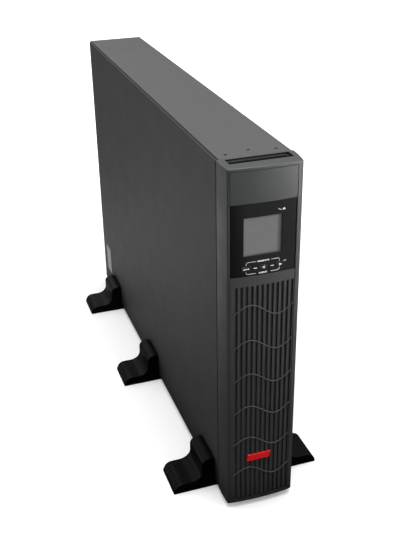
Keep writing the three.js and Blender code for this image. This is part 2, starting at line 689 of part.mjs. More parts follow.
// A hub cup with seven pitched blades. Its blind bore runs on the frame's boss.
function fanRotor() {
  const blades = { count: 7, pitch: 0.6, length: 20, chord: 22, thickness: 1.6, middle: 25.5 };
  const hub = { radius: 16.5, length: 17, boreDepth: 9 };
  const backY = STRUT_Y[0] - 1;
  const cup = cut(
    rodY(0, 0, hub.radius, [backY - hub.length, backY], 20),
    rodY(0, 0, BOSS_RADIUS + 0.4, [backY - hub.boreDepth, backY + BEYOND], 12),
  );
  const blade = (i) => {
    const plate = new THREE.BoxGeometry(blades.length, blades.thickness, blades.chord);
    plate.rotateX(blades.pitch).translate(blades.middle, 0, 0).rotateY(2 * Math.PI * i / blades.count);
    return solid(plate.translate(0, backY - hub.length / 2, 0));
  };
  return join(cup, ...repeat(blades.count, blade));
}

// A guard of round rings on a cross of two bars, with an eye at each corner.
function fanGuard() {
  const wire = 1.6;
  const wireY = [REAR_Y + GAP, REAR_Y + GAP + wire];
  const ring = (radius, sides) => {
    const [inner, outer] = around(radius, wire / 2);
    const corners = [[inner, wireY[0]], [outer, wireY[0]], [outer, wireY[1]], [inner, wireY[1]]];
    return turnedY([...corners, corners[0]], sides);
  };
  const bar = (angle) => crossBar(2 * Math.SQRT2 * FAN.screwOffset, 2.4, wireY, angle);
  const eyes = bothSides((sx) => bothSides((sz) =>
    rodY(sx * FAN.screwOffset, sz * FAN.screwOffset, 4, wireY, 12))).flat();
  return join(bar(Math.PI / 4), bar(-Math.PI / 4), ring(35, 24), ring(26, 20), ring(17, 16),
    rodY(0, 0, 7, wireY, 12), ...eyes);
}

FAN_CENTRES.forEach((z, i) => {
  const centre = [FAN.x, 0, z];
  place(rear, `fan_frame_${i + 1}`, fanFrame(), blackPlastic, centre);
  place(rear, `fan_rotor_${i + 1}`, fanRotor(), blackPlastic, centre);
  place(rear, `fan_guard_${i + 1}`, fanGuard(), plainSteel, centre);
});

// ---------------------------------------------------------------- sockets and controls at the rear

// A body that passes through the panel, with a flange that rests outside it.
function insert({ halfX, halfZ }, flangeBy, depth, proud) {
  return join(
    block(around(0, halfX), [REAR_Y - depth, REAR_Y + proud], around(0, halfZ)),
    block(around(0, halfX + flangeBy), [REAR_Y + GAP, REAR_Y + proud], around(0, halfZ + flangeBy)),
  );
}

// A power outlet with three contact slots.
function outlet() {
  const proud = 2;
  const slot = (x, z) => block(around(x, 1.1), [REAR_Y - 10, REAR_Y + proud + BEYOND], around(z, 2.2));
  return cut(insert(OUTLET, 2, 24, proud), slot(-7, -1.5), slot(7, -1.5), slot(0, 3));
}

// The mains inlet: a recess with three contact blades standing in it.
function inlet() {
  const wall = 2.2;
  const floorY = REAR_Y - 18;
  const recess = block(around(0, INLET.halfX - wall), [floorY, REAR_Y + 5], around(0, INLET.halfZ - wall));
  const blade = (x, z) => block(around(x, 1), [floorY - 1, REAR_Y - 3], around(z, 3.5));
  return join(cut(insert(INLET, 3.5, 22, 3), recess), blade(-8, -2), blade(8, -2), blade(0, 4));
}

// A cup with a collar outside the panel; the button stands in it.
function breakerBody() {
  const { radius } = BREAKER;
  const [bore, collar] = [5, radius + 2.5];
  const [frontY, floorY, rimY] = [REAR_Y - 20, REAR_Y - 12, REAR_Y + 2.6];
  return turnedY([
    [0, frontY], [radius, frontY], [radius, REAR_Y + GAP], [collar, REAR_Y + GAP],
    [collar, rimY], [bore, rimY], [bore, floorY], [0, floorY],
  ], 20);
}

function breakerButton() {
  const [radius, chamfer, innerY, faceY] = [4.6, 0.6, REAR_Y - 7, REAR_Y + 3];
  const edge = [[radius, faceY - chamfer], [radius - chamfer, faceY]];
  return turnedY([[0, innerY], [radius, innerY], ...edge, [0, faceY]]);
}

// A nine-pin socket shell on a wide flange.
function serialPort() {
  const flange = block(around(0, 15.4), [REAR_Y + GAP, REAR_Y + 1.3], around(0, 6.2));
  const mouth = block(around(0, SERIAL.halfX - 1), [REAR_Y - 4, REAR_Y + 8], around(0, SERIAL.halfZ - 1));
  return cut(join(insert(SERIAL, 0, 12, 5.5), flange), mouth);
}

// A square data socket: an open shell with a tongue inside.
function usbPort() {
  const wall = 0.8;
  const open = [REAR_Y - 10, REAR_Y + BEYOND];
  const mouth = block(around(0, USB.halfX - wall), open, around(0, USB.halfZ - wall));
  const tongue = block(around(0, 2.8), [REAR_Y - 11, REAR_Y - 1], around(0, 1.6));
  return join(cut(insert(USB, 0, 12, 1), mouth), tongue);
}

// Two network jacks in one housing.
function networkPorts() {
  const jack = (x) => block(around(x, 5.9), [REAR_Y - 12, REAR_Y + BEYOND], around(0, 4.6));
  return cut(insert(NETWORK, 0, 16, 1.2), jack(-7.6), jack(7.6));
}

// A two-pole plug-in terminal for the emergency-power-off contact.
function epoConnector() {
  const opening = (x) => block(around(x, 1.8), [REAR_Y - 4, REAR_Y + REAR_PROUD + BEYOND], [-3.2, 1.2]);
  return cut(insert(EPO, 0, 10, REAR_PROUD), opening(-2.6), opening(2.6));
}

// A blanking plate with a small handle over the option card slot.
function slotCover() {
  const plate = block(grown(CARD_SLOT.x, 5), [REAR_Y + GAP, REAR_Y + GAP + SHEET], grown(CARD_SLOT.z, 5));
  const handle = block(around(0, 12), [REAR_Y + GAP, REAR_Y + 5], [240, 243]);
  return join(plate, handle);
}

// A two-pole socket for an external battery cabinet.
function batterySocket() {
  const pole = (x) => block(around(x, 8), [REAR_Y - 14, REAR_Y + 5], around(0, 5.5));
  return cut(insert(SOCKET, 0, 28, 2.5), pole(-12), pole(12));
}

function groundScrew() {
  const [head, chamfer, seatY, faceY] = [4.4, 1, REAR_Y + GAP, REAR_Y + 3];
  return turnedY([
    [0, REAR_Y - 10], [GROUND.radius - 0.1, REAR_Y - 10], [GROUND.radius - 0.1, seatY], [head, seatY],
    [head, faceY - chamfer], [head - chamfer, faceY], [0, faceY],
  ]);
}

const at = ({ x, z }) => [x, 0, z];
eachOutlet((x, z, number) => place(rear, `outlet_${number}`, outlet(), blackPlastic, [x, 0, z]));
place(rear, 'inlet', inlet(), blackPlastic, at(INLET));
place(rear, 'breaker_body', breakerBody(), blackPlastic, at(BREAKER));
place(rear, 'breaker_button', breakerButton(), whitePlastic, at(BREAKER));
place(rear, 'serial_port', serialPort(), plainSteel, at(SERIAL));
place(rear, 'usb_port', usbPort(), plainSteel, at(USB));
place(rear, 'network_ports', networkPorts(), blackPlastic, at(NETWORK));
place(rear, 'epo_connector', epoConnector(), greenPlastic, at(EPO));
place(rear, 'slot_cover', slotCover(), coatedSteel);
place(rear, 'battery_socket', batterySocket(), greyPlastic, at(SOCKET));
place(rear, 'ground_screw', groundScrew(), brass, at(GROUND));

// ---------------------------------------------------------------- label and stand feet

function sideLabel() {
  const [clear, thickness] = [0.05, 0.3];
  const backX = -HALF_WIDTH - clear;
  return block([backX - thickness, backX], [274, 304], [39, 86]);
}

const FOOT = {
  length: 50,
  centresY: [-260, -3, 233],
  reach: 55,
  tabHeight: 45,
  tabThickness: 16.5,
  toeHeight: 13,
  toeRadius: 12.6,
};

// Outline of one foot half: base, rounded toe, hollow sweep and upright tab.
function footOutline() {
  const tabIn = HALF_WIDTH + GAP;
  const tabOut = tabIn + FOOT.tabThickness;
  const tip = HALF_WIDTH + FOOT.reach;
  const { tabHeight, toeHeight, toeRadius } = FOOT;
  const shape = new THREE.Shape();
  shape.moveTo(GAP / 2, 0);
  shape.lineTo(tip, 0);
  shape.absarc(tip - toeRadius, toeHeight - toeRadius, toeRadius, 0, Math.PI / 2, false);
  shape.lineTo(tabOut + 15, toeHeight);
  shape.bezierCurveTo(tabOut + 7, toeHeight + 0.5, tabOut, toeHeight + 5, tabOut, toeHeight + 14);
  shape.lineTo(tabOut, tabHeight - 10);
  shape.bezierCurveTo(tabOut, tabHeight - 4, tabOut - 5, tabHeight, tabIn + 3, tabHeight);
  shape.lineTo(tabIn, tabHeight - 3);
  shape.lineTo(tabIn, FOOT_BASE - GAP);
  shape.lineTo(GAP / 2, FOOT_BASE - GAP);
  return shape;
}

function footHalf() {
  return prismY(footOutline(), around(0, FOOT.length / 2), 6);
}

place(cabinet, 'side_label', sideLabel(), labelPaper);
const stand = section();
['front', 'middle', 'rear'].forEach((word, i) => {
  const centre = [0, FOOT.centresY[i], 0];
  place(stand, `foot_${word}_right`, footHalf(), blackPlastic, centre);
  place(stand, `foot_${word}_left`, footHalf(), blackPlastic, centre).rotation.z = Math.PI;
});

export default ups;
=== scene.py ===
# Looks of an uninterruptible power supply that stands on its side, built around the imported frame.
# Lengths are in millimetres, in the frame of the part; new_mesh() turns them into metres.
import math
import bmesh
import bpy
from mathutils import Matrix, Vector

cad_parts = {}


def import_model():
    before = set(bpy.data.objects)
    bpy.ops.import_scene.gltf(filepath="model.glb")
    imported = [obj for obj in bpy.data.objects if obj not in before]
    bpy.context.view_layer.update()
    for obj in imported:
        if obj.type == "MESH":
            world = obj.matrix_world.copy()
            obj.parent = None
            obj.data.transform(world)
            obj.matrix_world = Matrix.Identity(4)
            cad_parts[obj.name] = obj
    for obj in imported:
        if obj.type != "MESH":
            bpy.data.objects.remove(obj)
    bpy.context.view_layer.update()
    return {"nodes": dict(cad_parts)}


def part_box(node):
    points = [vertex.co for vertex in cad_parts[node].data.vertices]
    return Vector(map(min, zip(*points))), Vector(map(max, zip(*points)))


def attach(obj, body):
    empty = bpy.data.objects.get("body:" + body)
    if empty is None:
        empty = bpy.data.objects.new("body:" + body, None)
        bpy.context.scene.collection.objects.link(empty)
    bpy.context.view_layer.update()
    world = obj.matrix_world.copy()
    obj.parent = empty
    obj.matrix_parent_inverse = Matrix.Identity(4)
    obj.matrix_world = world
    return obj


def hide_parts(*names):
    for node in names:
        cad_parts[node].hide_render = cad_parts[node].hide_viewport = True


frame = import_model()
SCENE = bpy.context.scene
MM = 0.001


def span(node):
    """The x, y and z ranges of a CAD node, in millimetres."""
    low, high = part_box(node)
    return [(low[i] / MM, high[i] / MM) for i in range(3)]


def middle(node):
    """The centre of a CAD node."""
    return [(low + high) / 2 for low, high in span(node)]


CHASSIS_X, CHASSIS_Y, CHASSIS_Z = span("chassis")
COVER_X, COVER_Y, COVER_Z = span("cover")
BEZEL_X, BEZEL_Y, BEZEL_Z = span("bezel")
LCD_X, LCD_Y, LCD_Z = span("lcd_housing")
LCD_X = (LCD_X[0] - 0.25, LCD_X[1])
SEAT_Y, REAR_Y = CHASSIS_Y
BOTTOM_Z, TOP_Z = CHASSIS_Z
HALF_WIDTH = CHASSIS_X[1]
FRONT_Y = BEZEL_Y[0]
SHEET = 1.2
GAP = 0.3

# -------- mesh helpers


def linked(mesh):
    """A new object of the scene that holds a mesh."""
    obj = bpy.data.objects.new("piece", mesh)
    SCENE.collection.objects.link(obj)
    return obj


def from_bmesh(bm):
    mesh = bpy.data.meshes.new("piece")
    bm.to_mesh(mesh)
    bm.free()
    return linked(mesh)


def fix_normals(obj):
    bm = bmesh.new()
    bm.from_mesh(obj.data)
    bmesh.ops.recalc_face_normals(bm, faces=bm.faces)
    bm.to_mesh(obj.data)
    bm.free()
    return obj


def new_mesh(verts, faces):
    mesh = bpy.data.meshes.new("piece")
    mesh.from_pydata([[c * MM for c in v] for v in verts], [], faces)
    return fix_normals(linked(mesh))


def skin(rings, close=False):
    """A closed skin through rings of points; with close, the last ring joins the first."""
    count = len(rings[0])
    faces = []
    for level in range(len(rings) - (not close)):
        a, b = level * count, (level + 1) % len(rings) * count
        faces += [(a + i, a + (i + 1) % count, b + (i + 1) % count, b + i) for i in range(count)]
    if not close:
        last = (len(rings) - 1) * count
        faces += [tuple(range(count))[::-1], tuple(range(last, last + count))]
    return new_mesh([point for ring in rings for point in ring], faces)


PLACE = {
    "x": lambda u, v, w: (w, u, v),
    "y": lambda u, v, w: (u, w, v),
    "z": lambda u, v, w: (u, v, w),
}


def loft(rings, axis="y", close=False):
    """A skin through (outline, w) pairs: (y, z) outlines along x, (x, z) along y, (x, y) along z."""
    return skin([[PLACE[axis](u, v, w) for u, v in outline] for outline, w in rings], close)


def prism(outline, low, high, axis="y"):
    return loft([(outline, low), (outline, high)], axis)


def box(xs, ys, zs):
    return prism([(xs[0], ys[0]), (xs[1], ys[0]), (xs[1], ys[1]), (xs[0], ys[1])], *zs, "z")


def arc(centre, radius, start, end, steps=6):
    """Points on an arc; angles in degrees."""
    turns = [math.radians(start + (end - start) * i / steps) for i in range(steps + 1)]
    return [(centre[0] + radius * math.cos(t), centre[1] + radius * math.sin(t)) for t in turns]


def circle(centre, radius, steps=32):
    return arc(centre, radius, 0, 360 * (1 - 1 / steps), steps - 1)


def rounded(us, vs, r, steps=6):
    """A rectangle with round corners."""
    (u0, u1), (v0, v1) = grown(us, -r), grown(vs, -r)
    corners = ((u1, v0, -90), (u1, v1, 0), (u0, v1, 90), (u0, v0, 180))
    return [point for u, v, start in corners for point in arc((u, v), r, start, start + 90, steps)]


def around(centre, half):
    return (centre - half, centre + half)


def grown(pair, by):
    return (pair[0] - by, pair[1] + by)


def pad(u, v, half_u, half_v, radius, steps=6):
    """A rounded rectangle around u, v."""
    return rounded(around(u, half_u), around(v, half_v), radius, steps)


def lathe(profile, centre=(0, 0), axis="y", segments=40):
    """(radius, along) pairs turned about an axis through centre, with flat caps at both ends."""
    return loft([(circle(centre, radius, segments), along) for radius, along in profile], axis)


def plug(x, z, half_x, half_z, radius, y0, y1):
    """A rounded block around x, z that runs along y."""
    return prism(pad(x, z, half_x, half_z, radius), y0, y1)


def rod(x, z, radius, y0, y1, steps=24):
    return prism(circle((x, z), radius, steps), y0, y1)


def tube(path, radius, sides=12, closed=False):
    """A round rod along a path of points."""
    points = [Vector(p) for p in path]
    count = len(points)
    rings = []
    up = None
    for i, p in enumerate(points):
        before = points[i - 1] if closed or i > 0 else p
        after = points[(i + 1) % count] if closed or i < count - 1 else p
        along = (after - before).normalized()
        if up is None:
            up = along.orthogonal().normalized()
        up = (up - along * up.dot(along)).normalized()
        side = along.cross(up)
        turns = [2 * math.pi * k / sides for k in range(sides)]
        rings.append([p + radius * (math.cos(t) * up + math.sin(t) * side) for t in turns])
    return skin(rings, closed)


def join(objects):
    """One object that holds the meshes of several; they are removed."""
    bm = bmesh.new()
    for obj in objects:
        bm.from_mesh(obj.data)
        bpy.data.objects.remove(obj)
    return from_bmesh(bm)


def copies(obj, offsets, last=True):
    """One object made of copies of a mesh, each moved by an offset; the last use removes the original."""
    bm = bmesh.new()
    for offset in offsets:
        mesh = obj.data.copy()
        mesh.transform(Matrix.Translation(Vector(offset) * MM))
        bm.from_mesh(mesh)
    if last:
        bpy.data.objects.remove(obj)
    return from_bmesh(bm)


def combine(obj, tools, operation):
    """Joins or cuts with solids, and removes them."""
    for tool in tools:
        modifier = obj.modifiers.new("solid", "BOOLEAN")
        modifier.object = tool
        modifier.operation = operation
        modifier.solver = "EXACT"
    graph = bpy.context.evaluated_depsgraph_get()
    mesh = bpy.data.meshes.new_from_object(obj.evaluated_get(graph))
    obj.modifiers.clear()
    obj.data = mesh
    for tool in tools:
        bpy.data.objects.remove(tool)
    return obj


def cut(obj, *tools):
    return combine(obj, tools, "DIFFERENCE")


def weld(obj, *tools):
    return combine(obj, tools, "UNION")


SHARED_SLOTS = {
    "cabinet_paint_shaded": "cabinet_paint",
    "bezel_plastic_lit": "bezel_plastic",
    "key_black": "gloss_black",
    "pad_rubber": "black_plastic",
    "filter_foam": "black_plastic",
    "legend_white": "label_grey",
}


def done(name, obj, look, edge=None, node=None, body="root", segments=2, angle=35, slot=None):
    """Finishes a piece: name, material, body, the CAD node it stands for, and rounded edges.

    With edge 0 it is only shaded smooth, and with no edge it stays flat.
    """
    obj.name = name
    if edge is not None:
        obj.data.shade_smooth()
        obj.data.set_sharp_from_angle(angle=math.radians(angle))
    if edge:
        bevel = obj.modifiers.new("edges", "BEVEL")
        bevel.width = edge * MM
        bevel.segments = segments
        bevel.limit_method = "ANGLE"
        bevel.angle_limit = math.radians(angle)
        bevel.use_clamp_overlap = False
        bevel.miter_outer = "MITER_ARC"
        normals = obj.modifiers.new("normals", "WEIGHTED_NORMAL")
        normals.keep_sharp = True
    obj.data.materials.clear()
    obj.data.materials.append(look)
    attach(obj, body)
    own_slot = look.name.split(".")[0]
    slot or SHARED_SLOTS.get(own_slot, own_slot)
    if node:
        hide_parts(node)


# -------- material helpers

BLACK = (0.0, 0.0, 0.0, 1.0)
WHITE = (1.0, 1.0, 1.0, 1.0)


class Nodes:
    """Builds the node tree of a material or of the world."""

    def __init__(self, owner, shader="Principled BSDF", space="Object"):
        owner.use_nodes = True
        self.owner = owner
        self.tree = owner.node_tree
        self.shader = self.tree.nodes[shader]
        self.coords = self.add("TexCoord", space)

    def value(self, target, source):
        if isinstance(source, (int, float, tuple)):
            target.default_value = source
        else:
            self.tree.links.new(source, target)

    def add(self, kind, output, inputs=(), **settings):
        """Adds a node, feeds its inputs with values or links, and gives back one of its outputs."""
        node = self.tree.nodes.new("ShaderNode" + kind)
        for key, setting in settings.items():
            setattr(node, key, setting)
        for key, source in dict(inputs).items():
            self.value(node.inputs[key], source)
        return node.outputs[output]

    def set(self, **inputs):
        for key, source in inputs.items():
            self.value(self.shader.inputs[key.replace("_", " ")], source)

    def noise(self, scale, detail=3.0, stretch=None):
        where = self.coords
        if stretch:
            where = self.add("Mapping", "Vector", {"Vector": where, "Scale": stretch})
        return self.add("TexNoise", "Fac", {"Scale": scale, "Detail": detail, "Vector": where})

    def cells(self, scale):
        return self.add("TexVoronoi", "Distance", {"Scale": scale, "Vector": self.coords})

    def ramp(self, source, low, high, out_low=0.0, out_high=1.0):
        levels = {"From Min": low, "From Max": high, "To Min": out_low, "To Max": out_high}
        return self.add("MapRange", "Result", {"Value": source, **levels})

    def maths(self, operation, a, b=0.0):
        return self.add("Math", "Value", {0: a, 1: b}, operation=operation)

    def times(self, a, b):
        return self.maths("MULTIPLY", a, b)

    def mix(self, factor, a, b):
        return self.add("Mix", "Result", {"Factor": factor, "A": a, "B": b}, data_type="RGBA")

    def axis(self, name):
        return self.add("SeparateXYZ", name, {"Vector": self.coords})

    def edge_wear_and_highlight(self, radius):
        """1 on edges and 0 on faces, from how far a rounded normal turns from the true one. The materials
        lighten edges by it: a painted highlight, and on painted steel rubbed wear as well.
        """
        round_normal = self.add("Bevel", "Normal", {"Radius": radius}, samples=4)
        true_normal = self.add("NewGeometry", "Normal")
        dot = self.add("VectorMath", "Value", {0: round_normal, 1: true_normal}, operation="DOT_PRODUCT")
        return self.ramp(dot, 0.995, 0.85)

    def paint(self, colour, specular, reach):
        """Sets colour and specular level, both darkened by painted shade where other surfaces stand within
        reach.
        """
        self.set(Base_Color=colour, Specular_IOR_Level=specular)
        if reach:
            # painted shade: darker where nearby surfaces stand close
            openness = self.add("AmbientOcclusion", "AO", {"Distance": reach}, samples=6)
            shade = self.ramp(openness, 0.35, 0.95, 0.12, 1.0)
            self.set(Base_Color=self.mix(shade, BLACK, colour))
            self.set(Specular_IOR_Level=self.times(shade, specular))

    def bump(self, height, strength, distance=0.0002):
        inputs = {"Strength": strength, "Distance": distance, "Height": height}
        self.set(Normal=self.add("Bump", "Normal", inputs))


def new_material(name):
    return Nodes(bpy.data.materials.new(name))


def scaled(colour, by=1.0):
    return (colour[0] * by, colour[1] * by, colour[2] * by, 1.0)


def painted_steel(name, colour, roughness=0.5, specular=0.5, shade_reach=0.0):
    """Fine powder coat, brighter on rubbed edges as wear and as painted highlight; the last argument is how
    far nearby pieces cast painted shade on it.
    """
    n = new_material(name)
    cloud = n.ramp(n.noise(9.0, 4.0), 0.35, 0.65)
    speck = n.ramp(n.noise(2600.0, 1.0), 0.35, 0.65)
    base = n.mix(cloud, scaled(colour, 0.97), scaled(colour, 1.03))
    flecked = n.mix(n.times(speck, 0.22), base, scaled(colour, 1.6))
    # edges lightened unevenly: rubbed wear and painted highlight
    edge = n.times(n.edge_wear_and_highlight(0.0006), n.ramp(n.noise(120.0), 0.4, 0.7, 0.1, 0.5))
    n.paint(n.mix(edge, flecked, scaled(colour, 2.4)), specular, shade_reach)
    n.set(Roughness=n.ramp(n.noise(30.0, 5.0), 0.3, 0.7, roughness - 0.02, roughness + 0.03))
    n.bump(n.maths("ADD", n.noise(1500.0, 2.0), n.times(n.noise(380.0, 1.0), 0.5)), 0.16, 0.00012)
    return n.owner


def moulded_plastic(name, colour, roughness=0.5, specular=0.5, grain=1800.0, grain_depth=0.12, shade_reach=0.0):
    """Spark-eroded mould texture with faint flow clouding and a painted highlight on its edges; the last
    argument as above.
    """
    n = new_material(name)
    flow = n.ramp(n.noise(14.0, 3.0, stretch=(1.0, 1.0, 0.25)), 0.35, 0.65)
    base = n.mix(flow, scaled(colour, 0.94), scaled(colour, 1.06))
    # edges lightened evenly: a painted highlight
    edge = n.times(n.edge_wear_and_highlight(0.0005), 0.35)
    n.paint(n.mix(edge, base, scaled(colour, 1.7)), specular, shade_reach)
    n.set(Roughness=n.ramp(n.noise(40.0, 4.0), 0.3, 0.7, roughness - 0.05, roughness + 0.05))
    n.bump(n.maths("ADD", n.noise(grain, 2.0), n.cells(grain * 0.6)), grain_depth, 0.0001)
    return n.owner


def gloss_plastic(name, colour, roughness, coat):
    """Polished plastic: even colour, hair-fine wipe marks and a soft ripple."""
    n = new_material(name)
    dust = n.ramp(n.noise(900.0, 2.0), 0.62, 0.75)
    n.set(Base_Color=n.mix(n.times(dust, 0.06), scaled(colour), scaled(colour, 4.0)))
    wipe = n.noise(90.0, 6.0, stretch=(1.0, 1.0, 9.0))
    n.set(Roughness=n.ramp(wipe, 0.35, 0.7, roughness, roughness + 0.07))
    n.set(Coat_Weight=coat, Coat_Roughness=0.04)
    n.bump(n.noise(24.0, 1.0), 0.03, 0.0004)
    return n.owner


def bare_metal(name, colour, roughness=0.32, stretch=(1.0, 18.0, 18.0)):
    """Plated or drawn metal with fine streaks along one direction."""
    n = new_material(name)
    streak = n.noise(320.0, 4.0, stretch=stretch)
    tone = n.mix(n.ramp(streak, 0.35, 0.65), scaled(colour, 0.86), scaled(colour, 1.08))
    stain = n.ramp(n.noise(22.0, 5.0), 0.55, 0.75, 0.0, 0.35)
    n.set(Base_Color=n.mix(stain, tone, scaled(colour, 0.7)), Metallic=1.0)
    n.set(Roughness=n.ramp(streak, 0.3, 0.7, roughness - 0.07, roughness + 0.1))
    n.bump(streak, 0.08, 0.00008)
    return n.owner


def circuit_laminate(name, colour):
    """Solder mask over a mesh of traces, with pale pads."""
    n = new_material(name)
    turned = n.add("Mapping", "Vector", {"Vector": n.coords, "Rotation": (0.0, math.pi / 2, 0.0)})
    trace = n.add("TexBrick", "Fac", {"Scale": 190.0, "Mortar Size": 0.08, "Vector": turned}, offset=0.37)
    pads = n.ramp(n.cells(150.0), 0.16, 0.12)
    masked = n.mix(trace, scaled(colour, 0.75), scaled(colour, 1.5))
    n.set(Base_Color=n.mix(n.times(pads, 0.7), masked, (0.55, 0.52, 0.4, 1.0)))
    n.set(Roughness=n.ramp(n.noise(60.0), 0.3, 0.7, 0.25, 0.45), Metallic=n.times(pads, 0.6))
    n.bump(trace, 0.25, 0.0001)
    return n.owner


def banded(name, colour, gap_colour, pitch, roughness=0.5, metallic=0.0):
    """Even stripes across x: strands of a flat cable, laminations of a core, turns of a winding."""
    n = new_material(name)
    wave = n.ramp(n.maths("SINE", n.times(n.axis("X"), 2 * math.pi / (pitch * MM))), -1.0, 1.0)
    cloud = n.ramp(n.noise(40.0, 4.0), 0.3, 0.7, 0.85, 1.1)
    n.set(Base_Color=n.mix(n.times(wave, cloud), scaled(gap_colour), scaled(colour)), Metallic=metallic)
    n.set(Roughness=n.ramp(n.noise(200.0), 0.3, 0.7, roughness - 0.06, roughness + 0.08))
    n.bump(wave, 0.6, 0.0002)
    return n.owner


def display_glass(name, xs, zs):
    """An unlit display: a grey cell with painted shade towards its edges, deepest at the right, under clear
    film.
    """
    n = new_material(name)
    (x0, x1), (z0, z1) = (xs[0] * MM, xs[1] * MM), (zs[0] * MM, zs[1] * MM)
    right = n.ramp(n.axis("X"), x1 - 0.0005, x1 - 0.0065)
    left = n.ramp(n.axis("X"), x0 + 0.0002, x0 + 0.0012)
    low = n.ramp(n.axis("Z"), z0 + 0.0002, z0 + 0.003, 0.65, 1.0)
    high = n.ramp(n.axis("Z"), z1 - 0.0002, z1 - 0.002, 0.7, 1.0)
    rows = n.ramp(n.maths("SINE", n.times(n.axis("Z"), 2 * math.pi / 0.0008)), -1.0, 1.0, 0.98, 1.0)
    cloud = n.ramp(n.noise(30.0, 2.0), 0.3, 0.7, 0.94, 1.04)
    # painted shade at the edges, times the cloud and the rows
    shade = n.times(n.times(n.times(n.times(right, left), n.times(low, high)), cloud), rows)
    n.set(Base_Color=n.mix(shade, (0.018, 0.019, 0.02, 1.0), (0.17, 0.172, 0.175, 1.0)))
    n.set(Roughness=n.ramp(n.noise(400.0), 0.3, 0.7, 0.18, 0.26), Coat_Weight=0.6, Coat_Roughness=0.1)
    n.bump(n.noise(700.0), 0.02, 0.0001)
    return n.owner


def paper(name, colour):
    n = new_material(name)
    fibre = n.noise(700.0, 5.0, stretch=(1.0, 1.0, 0.3))
    n.set(Base_Color=n.mix(n.ramp(fibre, 0.3, 0.7), scaled(colour, 0.92), scaled(colour, 1.04)))
    n.set(Roughness=n.ramp(fibre, 0.3, 0.7, 0.5, 0.62))
    n.bump(fibre, 0.1, 0.00008)
    return n.owner


CABINET_PAINT = painted_steel("cabinet_paint", (0.058, 0.059, 0.061), 0.5)
# The cover's paint is the cabinet paint made darker and less shiny: painted shade on the left face, plus
# painted shade near other pieces.
CABINET_PAINT_SHADED = painted_steel("cabinet_paint_shaded", (0.039, 0.040, 0.041), 0.55, 0.37, 0.06)
# The bezel plastic is darkened by painted shade near other pieces.
BEZEL_PLASTIC = moulded_plastic("bezel_plastic", (0.046, 0.048, 0.048), 0.42, shade_reach=0.05)
# The ribs' plastic is the bezel plastic made lighter: a painted highlight on the raised ribs.
BEZEL_PLASTIC_LIT = moulded_plastic("bezel_plastic_lit", (0.062, 0.064, 0.064), 0.42)
FOOT_PLASTIC = moulded_plastic("foot_plastic", (0.002, 0.002, 0.0022), 0.42, 0.06, 900.0, 0.2)
BLACK_PLASTIC = moulded_plastic("black_plastic", (0.016, 0.016, 0.017))
SOCKET_GREY = moulded_plastic("socket_grey", (0.06, 0.062, 0.07))
BATTERY_CASE = moulded_plastic("battery_case", (0.03, 0.032, 0.036), 0.55, 0.5, 900.0, 0.2)
BUTTON_WHITE = moulded_plastic("button_white", (0.75, 0.75, 0.72), 0.4)
TERMINAL_GREEN = moulded_plastic("terminal_green", (0.03, 0.27, 0.06), 0.45)
PAD_RUBBER = moulded_plastic("pad_rubber", (0.016, 0.016, 0.016), 0.8, 0.3, 900.0, 0.3)
FILTER_FOAM = moulded_plastic("filter_foam", (0.09, 0.09, 0.09), 0.9, 0.2, 700.0, 0.9)
GLOSS_BLACK = gloss_plastic("gloss_black", (0.006, 0.006, 0.0065), 0.12, 0.25)
BADGE_RED = gloss_plastic("badge_red", (0.95, 0.014, 0.016), 0.3, 0.3)
KEY_BLACK = gloss_plastic("key_black", (0.012, 0.012, 0.013), 0.2, 0.4)
CAPACITOR_SLEEVE = gloss_plastic("capacitor_sleeve", (0.012, 0.03, 0.11), 0.25, 0.3)
RED_CABLE = gloss_plastic("red_cable", (0.3, 0.012, 0.01), 0.35, 0.2)
PLAIN_STEEL = bare_metal("plain_steel", (0.55, 0.56, 0.57))
ALUMINIUM = bare_metal("heatsink_aluminium", (0.66, 0.68, 0.7), 0.3, (18.0, 1.0, 18.0))
GROUND_BRASS = bare_metal("ground_brass", (0.72, 0.55, 0.24), 0.28)
CIRCUIT_BOARD = circuit_laminate("circuit_board", (0.02, 0.14, 0.045))
RIBBON_GREY = banded("ribbon_grey", (0.33,) * 3, (0.12,) * 3, 1.27)
CORE_STEEL = banded("transformer_core", (0.16,) * 3, (0.04,) * 3, 1.0, 0.45, 0.7)
WINDING = banded("copper_winding", (0.55, 0.2, 0.06), (0.12, 0.03, 0.01), 1.1, 0.3, 0.8)
LABEL_PAPER = paper("label_grey", (0.42, 0.43, 0.44))
LEGEND_WHITE = paper("legend_white", (0.8, 0.8, 0.8))

# -------- cabinet

BEND_RADIUS = 1.6
LIP_HEIGHT = 12
LIP_X = CHASSIS_X[0] + 1.0
HEM_THICKNESS = 1.7
HEM_HEIGHT = 7
COVER_DROP = 1.0
EAR_HOLES = [(-28.7, 11.7), (0, 18.5), (29.7, 12)]
EAR_HOLE_RADIUS = 2.1
REAR_HOLE_X = 33.5
REAR_HOLE_INSET = 5
REAR_HOLE_RADIUS = 1.7
VENT_COUNT = 11
VENT_PITCH = 9
VENT_WIDTH = 3.2
VENT_HALF_HEIGHT = 28
VENT_FIRST_Y = 130
VENT_CENTRES_Z = (130, 330)


def rear_wall_holes():
    """Round cutters through the top and bottom walls and the panel's flanges, near the rear."""
    spots = [(side * REAR_HOLE_X, REAR_Y - REAR_HOLE_INSET) for side in (-1, 1)]
    return [prism(circle(spot, REAR_HOLE_RADIUS, 20), BOTTOM_Z - 2, TOP_Z + 2, "z") for spot in spots]


